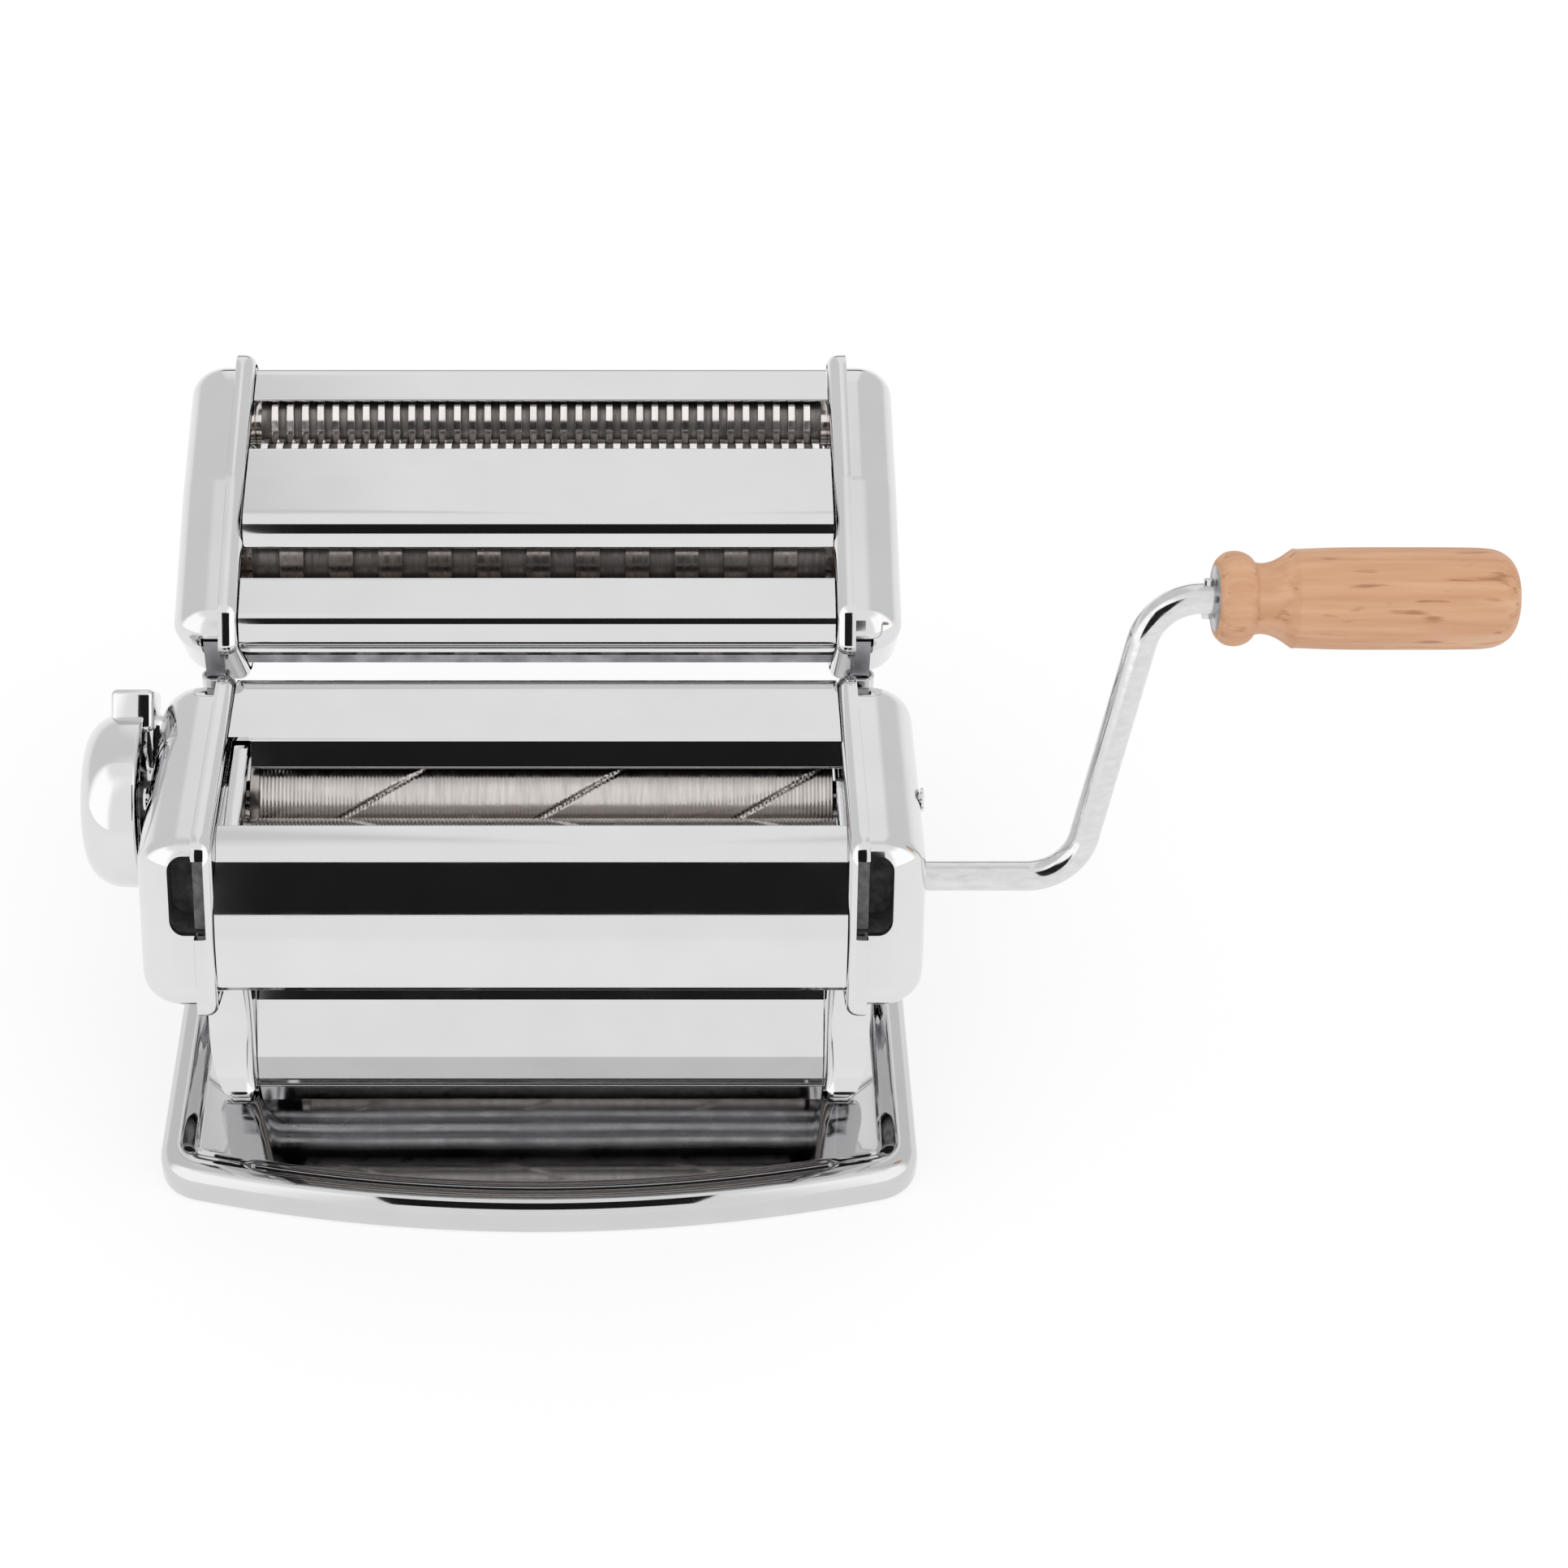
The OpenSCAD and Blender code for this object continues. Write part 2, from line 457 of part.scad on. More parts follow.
// starts of the lands on a front (k = 0) or a rear (k = 1) roller
function lands(pitch, k) = [for (i = [0:(k == 0 ? ceil(halves(pitch) / 2) : floor(halves(pitch) / 2)) - 1])
  first_x(pitch) + (i + k / 2) * pitch];
module cut_roller(p, pitch, k, x1) {
  w = pitch / 2 - 0.1;
  turned(p, concat([[0, -84], [6, -84], [6, -75.6], [groove_r, -75.6]],
    [for (a = lands(pitch, k)) each [[groove_r, a], [land_r, a], [land_r, a + w], [groove_r, a + w]]],
    [[groove_r, 75.6], [6, 75.6], [6, x1], [0, x1]]));
}
module driven_cut_roller(p, pitch) color([0.66, 0.66, 0.65]) difference() {
  cut_roller(p, pitch, 0, cap_x - 4);
  rod(p, socket_r, 81, cap_x);
  translate([0, p.x, p.y]) box(75, 82, -2.35, 2.35, -3.85, 3.85);
}
module fine_roller_front() driven_cut_roller(fine_front, fine_pitch);
module fine_roller_rear() color([0.66, 0.66, 0.65]) cut_roller(fine_rear, fine_pitch, 1, 88.5);
module wide_roller_front() driven_cut_roller(wide_front, wide_pitch);
module wide_roller_rear() color([0.66, 0.66, 0.65]) cut_roller(wide_rear, wide_pitch, 1, 88.5);
module cut_gear(p, a, turn) color([0.55, 0.56, 0.58])
  gear(p, cutter_teeth, cut_dist, a + turn, 6.02, 83, 87.5);
half_step = cutter_teeth % 2 == 0 ? 180 / cutter_teeth : 0;
module fine_gear_front() cut_gear(fine_front, fine_dir, 0);
module fine_gear_rear() cut_gear(fine_rear, fine_dir, half_step);
module wide_gear_front() cut_gear(wide_front, wide_dir, 0);
module wide_gear_rear() cut_gear(wide_rear, wide_dir, half_step);
// stripper comb under a roller: a bar with a finger in each groove
module comb(p, pitch, k, w) {
  box(-web_x, web_x, p.x - 2.5, p.x + 2.5, p.y - land_r - 4.5, p.y - land_r - 2);
  for (a = lands(pitch, 1 - k)) box(a + (pitch / 2 - 0.1) / 2 - w / 2, a + (pitch / 2 - 0.1) / 2 + w / 2,
    p.x - 1.5, p.x + 1.5, p.y - land_r - 2, p.y - groove_r - 0.5);
}
module fine_combs() color([0.75, 0.76, 0.77]) { comb(fine_front, fine_pitch, 0, 1.2); comb(fine_rear, fine_pitch, 1, 1.2); }
module wide_combs() color([0.75, 0.76, 0.77]) { comb(wide_front, wide_pitch, 0, 5); comb(wide_rear, wide_pitch, 1, 5); }

base_plate();
clamp_bracket();
left_leg();
right_leg();
foot_screws();
chute();
left_head_plate();
right_head_plate();
left_end_cover();
right_end_cover();
front_cover();
rear_cover();
front_loops();
rear_loops();
tie_rods();
tie_screws();
front_bushes();
left_dough_guide();
front_scraper();
cover_posts();
cover_screws();
front_roller();
drive_gear();
rear_roller();
driven_gear();
bearing_block_left();
bearing_block_right();
carrier_bar();
rear_scraper();
setting_shaft();
shaft_washer();
knob_spring();
knob_body();
knob_cover();
crank_rod();
grip();
grip_ferrule();
cutter_left_plate();
cutter_right_plate();
cutter_left_cover();
cutter_right_cover();
cutter_front_cover();
cutter_middle_cover();
cutter_rear_cover();
cutter_tongues();
cutter_tie_rods();
cutter_tie_screws();
cutter_bushes();
cutter_posts();
cutter_cover_screws();
fine_combs();
wide_combs();
fine_roller_front();
fine_roller_rear();
fine_gear_front();
fine_gear_rear();
wide_roller_front();
wide_roller_rear();
wide_gear_front();
wide_gear_rear();
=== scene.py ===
import bpy, bmesh, json, math
from mathutils import Euler, Matrix, Vector


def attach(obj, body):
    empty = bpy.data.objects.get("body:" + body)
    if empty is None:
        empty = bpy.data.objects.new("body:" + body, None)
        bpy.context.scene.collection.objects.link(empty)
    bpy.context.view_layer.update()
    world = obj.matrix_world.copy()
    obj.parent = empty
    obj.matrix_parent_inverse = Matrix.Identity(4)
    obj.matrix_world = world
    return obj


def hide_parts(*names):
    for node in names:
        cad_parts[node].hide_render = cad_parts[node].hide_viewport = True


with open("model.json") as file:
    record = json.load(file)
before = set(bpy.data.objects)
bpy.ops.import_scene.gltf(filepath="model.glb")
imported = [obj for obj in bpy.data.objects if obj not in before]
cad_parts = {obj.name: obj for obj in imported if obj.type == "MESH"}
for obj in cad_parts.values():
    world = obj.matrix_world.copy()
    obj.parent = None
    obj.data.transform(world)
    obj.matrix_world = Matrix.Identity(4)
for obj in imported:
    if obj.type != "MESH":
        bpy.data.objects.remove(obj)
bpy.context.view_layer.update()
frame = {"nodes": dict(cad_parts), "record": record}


NODES = frame["nodes"]
scene = bpy.context.scene
MM = 0.001
cos, sin, rad = math.cos, math.sin, math.radians

# ---------------------------------------------------------------- sizes, in mm
WEB_X = 77.5          # inner faces of the side plates
ROLLER_R, LAND_R, GROOVE_R = 14.5, 9.5, 8.2
ROD_R, SOCKET_R = 3.75, 3.85
CRANK_LEN, CRANK_OUT, CRANK_BEND, CRANK_ANGLE = 74.4, 15.4, 14, 75
GRIP_LEN = 72
KNOB_R, KNOB_LEVER, PIN_RADIUS = 22.5, 50, 17
COVER_HALF, CUTTER_HALF, CHUTE_HALF = 77.45, 77.3, 75.8

# ---------------------------------------------------------------- outlines: y, z, corner radius
HEAD = [(-64.5, 114.5, 7), (8, 114.5, 9), (10, 84, 12), (-4, 64, 14), (-60, 64, 16), (-80.5, 71.5, 4)]
CUTTER = [(8, 118, 3), (14, 127, 6), (51, 144, 14), (92, 156.8, 6.5), (97, 149.5, 6), (98, 122, 10),
          (84, 96, 16), (28, 92, 12)]
# the end covers are rounder than the plates they close
HEAD_CAP = [(-64.5, 114.5, 8), (8, 114.5, 13), (10, 84, 13), (-4, 64, 16), (-60, 64, 18), (-80.5, 71.5, 8)]
CUTTER_CAP = [(4.5, 122.6, 9), (51, 144, 16), (96.7, 158.3, 11), (98, 122, 14), (84, 96, 16), (28, 92, 16)]
# axes of the rollers and the carrier bar, then the tie rods
FRONT, REAR, BAR = (-49.6, 92), (-20.4, 92), (0, 101)
WIDE_F, WIDE_R = (25.9, 116.8), (42.648, 122.830)
FINE_F, FINE_R = (66.4, 133.5), (83.485, 138.496)
TIES, LOW_TIE = [(-66.5, 79), (-2, 76)], (5, 30)
CUT_TIES = [(54, 129.5), (84.5, 108), (56, 104)]


def unit(v):
    n = math.hypot(v[0], v[1])
    return (v[0] / n, v[1] / n)


def fillet(a, b, c, r, n):
    """Arc of radius r that rounds corner b between a and c."""
    u, v = unit((a[0] - b[0], a[1] - b[1])), unit((c[0] - b[0], c[1] - b[1]))
    half = math.acos(max(-1, min(1, u[0] * v[0] + u[1] * v[1]))) / 2
    m = unit((u[0] + v[0], u[1] + v[1]))
    m = (b[0] + m[0] * r / sin(half), b[1] + m[1] * r / sin(half))
    d = r / math.tan(half)
    p = (b[0] + u[0] * d - m[0], b[1] + u[1] * d - m[1])
    q = (b[0] + v[0] * d - m[0], b[1] + v[1] * d - m[1])
    a1 = math.atan2(p[1], p[0])
    turn = (math.atan2(q[1], q[0]) - a1 + 3 * math.pi) % (2 * math.pi) - math.pi
    return [(m[0] + r * cos(a1 + turn * i / n), m[1] + r * sin(a1 + turn * i / n)) for i in range(n + 1)]


def supported(pts, s=0.4):
    """Adds a point near each end of every long straight run of a path, so that flat faces stay flat."""
    out = []
    for a, b in zip(pts, pts[1:]):
        out.append(a)
        d = math.dist(a, b)
        if d > 5 * s:
            for t in (s / d, 1 - s / d):
                out.append((a[0] + (b[0] - a[0]) * t, a[1] + (b[1] - a[1]) * t))
    return out + [pts[-1]]


def closed(c, n=10):
    """Ring through the rounded corners c, with the same number of points for every radius."""
    k = len(c)
    arcs = [fillet(c[i - 1], c[i], c[(i + 1) % k], c[i][2], n) for i in range(k)]
    out = []
    for i, arc in enumerate(arcs):
        a, b = arc[-1], arcs[(i + 1) % k][0]
        t = min(0.25, 0.4 / max(math.dist(a, b), 0.01))
        out += arc + [(a[0] + (b[0] - a[0]) * w, a[1] + (b[1] - a[1]) * w) for w in (t, 1 - t)]
    return out


def inset(c, d):
    """The corners c moved inward by d."""
    out, k = [], len(c)
    for i, b in enumerate(c):
        before, after = c[i - 1], c[(i + 1) % k]
        u, v = unit((before[0] - b[0], before[1] - b[1])), unit((after[0] - b[0], after[1] - b[1]))
        half = math.acos(u[0] * v[0] + u[1] * v[1]) / 2
        m = unit((u[0] + v[0], u[1] + v[1]))
        out.append((b[0] + m[0] * d / sin(half), b[1] + m[1] * d / sin(half), max(b[2] - d, 1.5)))
    return out


def bent(c, n=14):
    """Open path through the corners c, rounded at all but its two ends."""
    out = []
    for i, p in enumerate(c):
        out += [p[:2]] if i in (0, len(c) - 1) else fillet(c[i - 1], p, c[i + 1], p[2], n)
    return supported(out)


def moved(p, t):
    """The path p moved sideways by t."""
    out, n = [], len(p) - 1
    for i in range(n + 1):
        a, b = p[max(i, 1) - 1], p[max(i, 1)]
        c, d = p[min(i, n - 1)], p[min(i, n - 1) + 1]
        u, v = unit((b[0] - a[0], b[1] - a[1])), unit((d[0] - c[0], d[1] - c[1]))
        m = unit((-u[1] - v[1], u[0] + v[0]))
        k = t / (m[0] * -v[1] + m[1] * v[0])
        out.append((p[i][0] + m[0] * k, p[i][1] + m[1] * k))
    return out


def circle(p, r, n=48):
    return [(p[0] + r * cos(2 * math.pi * i / n), p[1] + r * sin(2 * math.pi * i / n)) for i in range(n)]


def slot_hole(p, r, run):
    """Hole of radius r that runs on by run towards the back."""
    return [(p[0] + (run if -90 < a < 90 else 0) + r * cos(rad(a)), p[1] + r * sin(rad(a)))
            for a in list(range(-90, 91, 10)) + list(range(90, 271, 10))]


# ---------------------------------------------------------------- materials
def nodes_of(name):
    m = bpy.data.materials.new(name)
    m.use_nodes = True
    return m, m.node_tree, m.node_tree.nodes["Principled BSDF"]


def noise_from(tree, scale, detail, stretch=(1, 1, 1), kind="ShaderNodeTexNoise"):
    coord = tree.nodes.new("ShaderNodeTexCoord")
    mapping = tree.nodes.new("ShaderNodeMapping")
    mapping.inputs["Scale"].default_value = stretch
    tex = tree.nodes.new(kind)
    tex.inputs["Scale"].default_value = scale
    if "Detail" in tex.inputs:
        tex.inputs["Detail"].default_value = detail
    tree.links.new(coord.outputs["Object"], mapping.inputs["Vector"])
    tree.links.new(mapping.outputs["Vector"], tex.inputs["Vector"])
    return tex.outputs[0]


def remap(tree, value, lo, hi, a, b):
    m = tree.nodes.new("ShaderNodeMapRange")
    for k, v in (("From Min", lo), ("From Max", hi), ("To Min", a), ("To Max", b)):
        m.inputs[k].default_value = v
    tree.links.new(value, m.inputs["Value"])
    return m.outputs["Result"]


def blend_colours(tree, factor, a, b):
    m = tree.nodes.new("ShaderNodeMix")
    m.data_type = "RGBA"
    m.inputs[6].default_value = (*a, 1)
    m.inputs[7].default_value = (*b, 1)
    tree.links.new(factor, m.inputs[0])
    return m.outputs[2]


def bump(tree, bsdf, height, distance, strength=0.5):
    b = tree.nodes.new("ShaderNodeBump")
    b.inputs["Strength"].default_value = strength
    b.inputs["Distance"].default_value = distance
    tree.links.new(height, b.inputs["Height"])
    tree.links.new(b.outputs["Normal"], bsdf.inputs["Normal"])


def metal(name, a, b, rough, scale=60, stretch=(1, 1, 1), wave=0.0, wave_scale=25, metallic=1.0):
    m, tree, bsdf = nodes_of(name)
    grain = noise_from(tree, scale, 4, stretch)
    tree.links.new(blend_colours(tree, remap(tree, grain, 0.3, 0.7, 0, 1), a, b), bsdf.inputs["Base Color"])
    tree.links.new(remap(tree, grain, 0.3, 0.7, rough[0], rough[1]), bsdf.inputs["Roughness"])
    bsdf.inputs["Metallic"].default_value = metallic
    if wave:
        bump(tree, bsdf, noise_from(tree, wave_scale, 1), wave)
    return m


CHROME = metal("chrome", (0.745, 0.745, 0.75), (0.72, 0.72, 0.725), (0.035, 0.07), wave=0.00006)
BASE_CHROME = metal("base_chrome", (0.66, 0.66, 0.665), (0.63, 0.63, 0.635), (0.035, 0.07), wave=0.00006)
# near-black sheet for the covers' inner faces: painted shade where the covers hide the light
INSIDE_SHADE = metal("sheet_inside", (0.11, 0.11, 0.112), (0.07, 0.07, 0.072), (0.3, 0.45), 90, wave=0.0001,
               wave_scale=200)
# dark material for the cutters' groove floors: painted shade in the recesses between the lands
GROOVE_SHADE = metal("groove_floor", (0.26, 0.24, 0.23), (0.14, 0.127, 0.12), (0.35, 0.55), 150, (6, 1, 1),
               wave=0.0001, wave_scale=300)
ROD_CHROME = metal("rod_chrome", (0.74, 0.74, 0.745), (0.66, 0.66, 0.665), (0.07, 0.16), 240, (1, 3, 3),
                   wave=0.00008, wave_scale=160)
ZINC = metal("zinc_steel", (0.50, 0.50, 0.51), (0.36, 0.36, 0.37), (0.22, 0.42), 180, wave=0.0001,
             wave_scale=300)
ROLLER = metal("roller_steel", (0.53, 0.495, 0.475), (0.42, 0.39, 0.37), (0.16, 0.26), 90, (9, 1, 1),
               wave=0.00005, wave_scale=400)
CUT = metal("wide_cutter_steel", (0.46, 0.405, 0.38), (0.30, 0.26, 0.245), (0.2, 0.34), 120, (6, 1, 1),
            wave=0.00008, wave_scale=400)
# the fine cutters' colour is raised far above the wide cutters' steel: painted light, making up for the shade
# the covers cast on them
FINE = metal("fine_cutter_steel", (0.93, 0.885, 0.865), (0.84, 0.79, 0.77), (0.12, 0.2), 120, (6, 1, 1),
             wave=0.00005, wave_scale=400)
GEAR = metal("gear_steel", (0.42, 0.42, 0.43), (0.28, 0.28, 0.29), (0.3, 0.5), 160, wave=0.0001,
             wave_scale=260)
BRONZE = metal("bronze_bush", (0.58, 0.40, 0.20), (0.44, 0.29, 0.13), (0.28, 0.45), 200, wave=0.0001,
               wave_scale=300)
# near-black materials for the hook pockets: painted shade, the darker one for the pocket's tray and the
# lighter one for the step block
POCKET_SHADE = metal("dark_liner", (0.075, 0.075, 0.078), (0.03, 0.03, 0.032), (0.55, 0.8), 420, wave=0.0006,
             wave_scale=700, metallic=0.3)
POCKET_SHADE2 = metal("dark_liner_front", (0.15, 0.15, 0.152), (0.085, 0.085, 0.088), (0.5, 0.75), 420, wave=0.0006,
              wave_scale=700, metallic=0.3)


def beech():
    m, tree, bsdf = nodes_of("beech")
    broad = noise_from(tree, 22, 3, (0.25, 1.4, 1.4))
    fine = noise_from(tree, 330, 4, (0.07, 1, 1))
    fleck = noise_from(tree, 520, 2, (0.14, 1, 1))
    tone = tree.nodes.new("ShaderNodeMath")
    tone.operation = "MULTIPLY_ADD"
    tone.inputs[1].default_value = 0.55
    tree.links.new(broad, tone.inputs[0])
    tree.links.new(remap(tree, fine, 0.3, 0.7, 0, 0.45), tone.inputs[2])
    base = blend_colours(tree, remap(tree, tone.outputs[0], 0.3, 0.72, 0, 1), (0.62, 0.365, 0.22),
                         (0.51, 0.262, 0.14))
    dark = tree.nodes.new("ShaderNodeMix")
    dark.data_type = "RGBA"
    tree.links.new(remap(tree, fleck, 0.6, 0.72, 0, 0.75), dark.inputs[0])
    tree.links.new(base, dark.inputs[6])
    dark.inputs[7].default_value = (0.30, 0.125, 0.055, 1)
    tree.links.new(dark.outputs[2], bsdf.inputs["Base Color"])
    tree.links.new(remap(tree, fine, 0.3, 0.7, 0.5, 0.62), bsdf.inputs["Roughness"])
    bump(tree, bsdf, fine, 0.0002, 0.4)
    return m


BEECH = beech()
BY_SLOT = {"chrome_sheet": CHROME, "steel_parts": ZINC, "roller_steel": ROLLER, "gear_steel": GEAR,
           "bronze_bush": BRONZE, "beech": BEECH}

# ---------------------------------------------------------------- mesh building


def baked(obj):
    bpy.context.view_layer.update()
    me = bpy.data.meshes.new_from_object(obj.evaluated_get(bpy.context.evaluated_depsgraph_get()))
    obj.modifiers.clear()
    obj.data = me
    return obj


def cleaned(obj, merge=0.00001):
    bm = bmesh.new()
    bm.from_mesh(obj.data)
    bmesh.ops.remove_doubles(bm, verts=bm.verts, dist=merge)
    bmesh.ops.recalc_face_normals(bm, faces=bm.faces)
    bm.to_mesh(obj.data)
    bm.free()
    return obj


def raw(name, verts, faces):
    me = bpy.data.meshes.new(name)
    me.from_pydata([(x * MM, y * MM, z * MM) for x, y, z in verts], [], faces)
    obj = bpy.data.objects.new(name, me)
    scene.collection.objects.link(obj)
    return cleaned(obj)


def dressed(obj, mat, body, nodes=(), angle=32):
    me = obj.data
    me.materials.clear()
    me.materials.append(mat)
    me.polygons.foreach_set("use_smooth", [True] * len(me.polygons))
    me.set_sharp_from_angle(angle=rad(angle))
    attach(obj, body)
    if nodes:
        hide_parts(*nodes)
    return obj


def loft(rings, ends=(True, True), wrap=False):
    """Rings of 3-D points with the same count, joined by quads; the ends are filled."""
    n = len(rings[0])
    verts = [p for r in rings for p in r]
    faces = []
    for k in range(len(rings) if wrap else len(rings) - 1):
        a, b = k * n, (k + 1) % len(rings) * n
        faces += [(a + i, a + (i + 1) % n, b + (i + 1) % n, b + i) for i in range(n)]
    if ends[0] and not wrap:
        faces.append(tuple(range(n)))
    if ends[1] and not wrap:
        faces.append(tuple(range((len(rings) - 1) * n, len(rings) * n))[::-1])
    return verts, faces


def at_x(x, loop):
    return [(x, y, z) for y, z in loop]


def lathe(name, centre, profile, seg, shape=None):
    """Profile of (x, r) turned about an axis along X; shape(x, angle, r) may change the radius."""
    rings = []
    for x, r in profile:
        rings.append([(x, centre[0] + (shape(x, a, r) if shape else r) * cos(a),
                       centre[1] + (shape(x, a, r) if shape else r) * sin(a))
                      for a in (2 * math.pi * i / seg for i in range(seg))])
    return raw(name, *loft(rings))


def plate(name, loops, x0, x1, bevel=0.2):
    """Flat plate with holes, from loops of (y, z), made with a filled 2-D curve."""
    cu = bpy.data.curves.new(name, "CURVE")
    cu.dimensions, cu.fill_mode = "2D", "BOTH"
    cu.extrude = (x1 - x0) / 2 * MM - bevel * MM
    cu.bevel_depth, cu.bevel_resolution, cu.offset = bevel * MM, 2, -bevel * MM
    for loop in loops:
        sp = cu.splines.new("POLY")
        sp.points.add(len(loop) - 1)
        for q, (y, z) in zip(sp.points, loop):
            q.co = (y * MM, z * MM, 0, 1)
        sp.use_cyclic_u = True
    tmp = bpy.data.objects.new(name + "_curve", cu)
    scene.collection.objects.link(tmp)
    bpy.context.view_layer.update()
    me = bpy.data.meshes.new_from_object(tmp.evaluated_get(bpy.context.evaluated_depsgraph_get()))
    bpy.data.objects.remove(tmp)
    bpy.data.curves.remove(cu)
    me.transform(Matrix(((0, 0, 1, (x0 + x1) / 2 * MM), (1, 0, 0, 0), (0, 1, 0, 0), (0, 0, 0, 1))))
    obj = bpy.data.objects.new(name, me)
    scene.collection.objects.link(obj)
    return cleaned(obj)


def flipped(obj):
    """Mirrors a mesh that was built for the right side over to the left."""
    obj.data.transform(Matrix.Scale(-1, 4, (1, 0, 0)))
    return cleaned(obj)


def cut(obj, *tools):
    for t in tools:
        m = obj.modifiers.new("cut", "BOOLEAN")
        m.operation, m.object, m.solver = "DIFFERENCE", t, "EXACT"
    baked(obj)
    for t in tools:
        bpy.data.objects.remove(t)
    return obj


def joined(name, *objs):
    bm = bmesh.new()
    for o in objs:
        bm.from_mesh(o.data)
    me = bpy.data.meshes.new(name)
    bm.to_mesh(me)
    bm.free()
    for o in objs:
        bpy.data.objects.remove(o)
    obj = bpy.data.objects.new(name, me)
    scene.collection.objects.link(obj)
    return obj


def rounded_box(name, x0, x1, y0, y1, z0, z1, r, n=3):
    bm = bmesh.new()
    bmesh.ops.create_cube(bm, size=1)
    for v in bm.verts:
        v.co = Vector((x0 + (x1 - x0) * (v.co.x + 0.5), y0 + (y1 - y0) * (v.co.y + 0.5),
                       z0 + (z1 - z0) * (v.co.z + 0.5))) * MM
    bmesh.ops.bevel(bm, geom=bm.edges[:], offset=r * MM, segments=n, profile=0.5, affect="EDGES")
    me = bpy.data.meshes.new(name)
    bm.to_mesh(me)
    bm.free()
    obj = bpy.data.objects.new(name, me)
    scene.collection.objects.link(obj)
    return obj


def cylinder(name, centre, r, x0, x1, seg=48):
    return raw(name, *loft([at_x(x0, circle(centre, r, seg)), at_x(x1, circle(centre, r, seg))]))


def strip_piece(name, path, t, half_x):
    """Bent sheet cover running along X: a path in Y-Z, t thick, with rounded long edges."""
    p = bent(path)
    q = moved(p, t)[::-1]

    def end(a, b, c):
        # half circle from a to b, the two faces' ends; c is the point before a
        m = ((a[0] + b[0]) / 2, (a[1] + b[1]) / 2)
        u = unit((a[0] - c[0], a[1] - c[1]))
        v = ((a[0] - b[0]) / 2, (a[1] - b[1]) / 2)
        h = abs(t) / 2
        return [(m[0] + v[0] * cos(rad(k)) + u[0] * h * sin(rad(k)),
                 m[1] + v[1] * cos(rad(k)) + u[1] * h * sin(rad(k))) for k in (30, 60, 90, 120, 150)]

    loop = p + end(p[-1], q[0], p[-2]) + q + end(q[-1], p[0], q[-2])
    return raw(name, *loft([at_x(x, loop) for x in (-half_x, half_x)]))


def inside_shaded(obj, centre):
    """Gives the faces that look towards a point (y, z) a near-black material: painted shade on the inner side
    of the sheet.
    """
    obj.data.materials.append(INSIDE_SHADE)
    for f in obj.data.polygons:
        dy, dz = centre[0] - f.center.y / MM, centre[1] - f.center.z / MM
        if (f.normal.y * dy + f.normal.z * dz) / math.hypot(dy, dz) > 0.35:
            f.material_index = 1
    return obj


# ---------------------------------------------------------------- base plate
def base_ring(d, z):
    """The base's outline moved inward by d, at height z: a bowed front edge and four round corners."""
    bow, half, x_end, front_y, corner_r = 10.5, 87, 90.1, -75.5, 13
    cx, front, back = half, -62.1, 71
    slope = 2 * bow / half ** 2
    a0 = math.atan(slope * x_end)
    out = []
    for i in range(61):
        x = -x_end + 2 * x_end * i / 60
        y = front_y - bow * (1 - (x / half) ** 2)
        n = unit((slope * x, -1))
        out.append((x - d * n[0], y - d * n[1]))
    r = corner_r - d
    for x, y, a, b in ((cx, front, -math.pi / 2 + a0, 0), (cx, back, 0, math.pi / 2),
                       (-cx, back, math.pi / 2, math.pi), (-cx, front, math.pi, 1.5 * math.pi - a0)):
        out += [(x + r * cos(a + (b - a) * i / 16), y + r * sin(a + (b - a) * i / 16)) for i in range(17)]
    return [(x, y, z) for x, y in out]


def smooth_profile(pts, n=4):
    """Smooth curve through the points, with n steps between each two."""
    def between(a, b, c, d, t):
        return 0.5 * (2 * b + (c - a) * t + (2 * a - 5 * b + 4 * c - d) * t * t
                      + (3 * b - a - 3 * c + d) * t ** 3)

    out = []
    for i in range(len(pts) - 1):
        near = pts[max(i - 1, 0)], pts[i], pts[i + 1], pts[min(i + 2, len(pts) - 1)]
        out += [tuple(between(*(p[j] for p in near), k / n) for j in (0, 1)) for k in range(n)]
    return out + [pts[-1]]


# (how far inward, height): the rim and bead on top, then the folded edge and the underside
top = smooth_profile([(11, 8.2), (10.4, 8.2), (8.8, 8.5), (7.2, 9.15), (5.6, 9.65), (3.9, 9.6), (2, 8.85),
                      (0.55, 7.2), (0.05, 5.4)])
under = [(0, 4), (0, 1), (0.12, 0.5), (0.6, 0.05), (1.2, 0), (5.4, 0), (6, 0.2), (6.2, 0.6), (6, 1),
         (5.4, 1.2), (1.7, 1.2), (1.3, 1.6), (1.2, 2.4), (1.2, 6), (1.5, 6.7), (2.2, 7)]
base = raw("base_plate_look", *loft([base_ring(d, z) for d, z in top + under]))


def screw_hole(x, y, r=2.05):
    return raw("hole", *loft([[(x + r * cos(rad(a)), y + r * sin(rad(a)), z) for a in range(0, 360, 15)]
                              for z in (3, 12)]))


# the slot for a table clamp in the back, and the holes of the four foot screws
cut(base, rounded_box("slot", -11, 11, 79, 86, 1.6, 7, 0.8),
    *[screw_hole(x, y) for x, y in ((82.5, -31), (82.5, 5), (-82.5, -31), (-82.5, 5))])
dressed(base, BASE_CHROME, "frame", ["base_plate"])


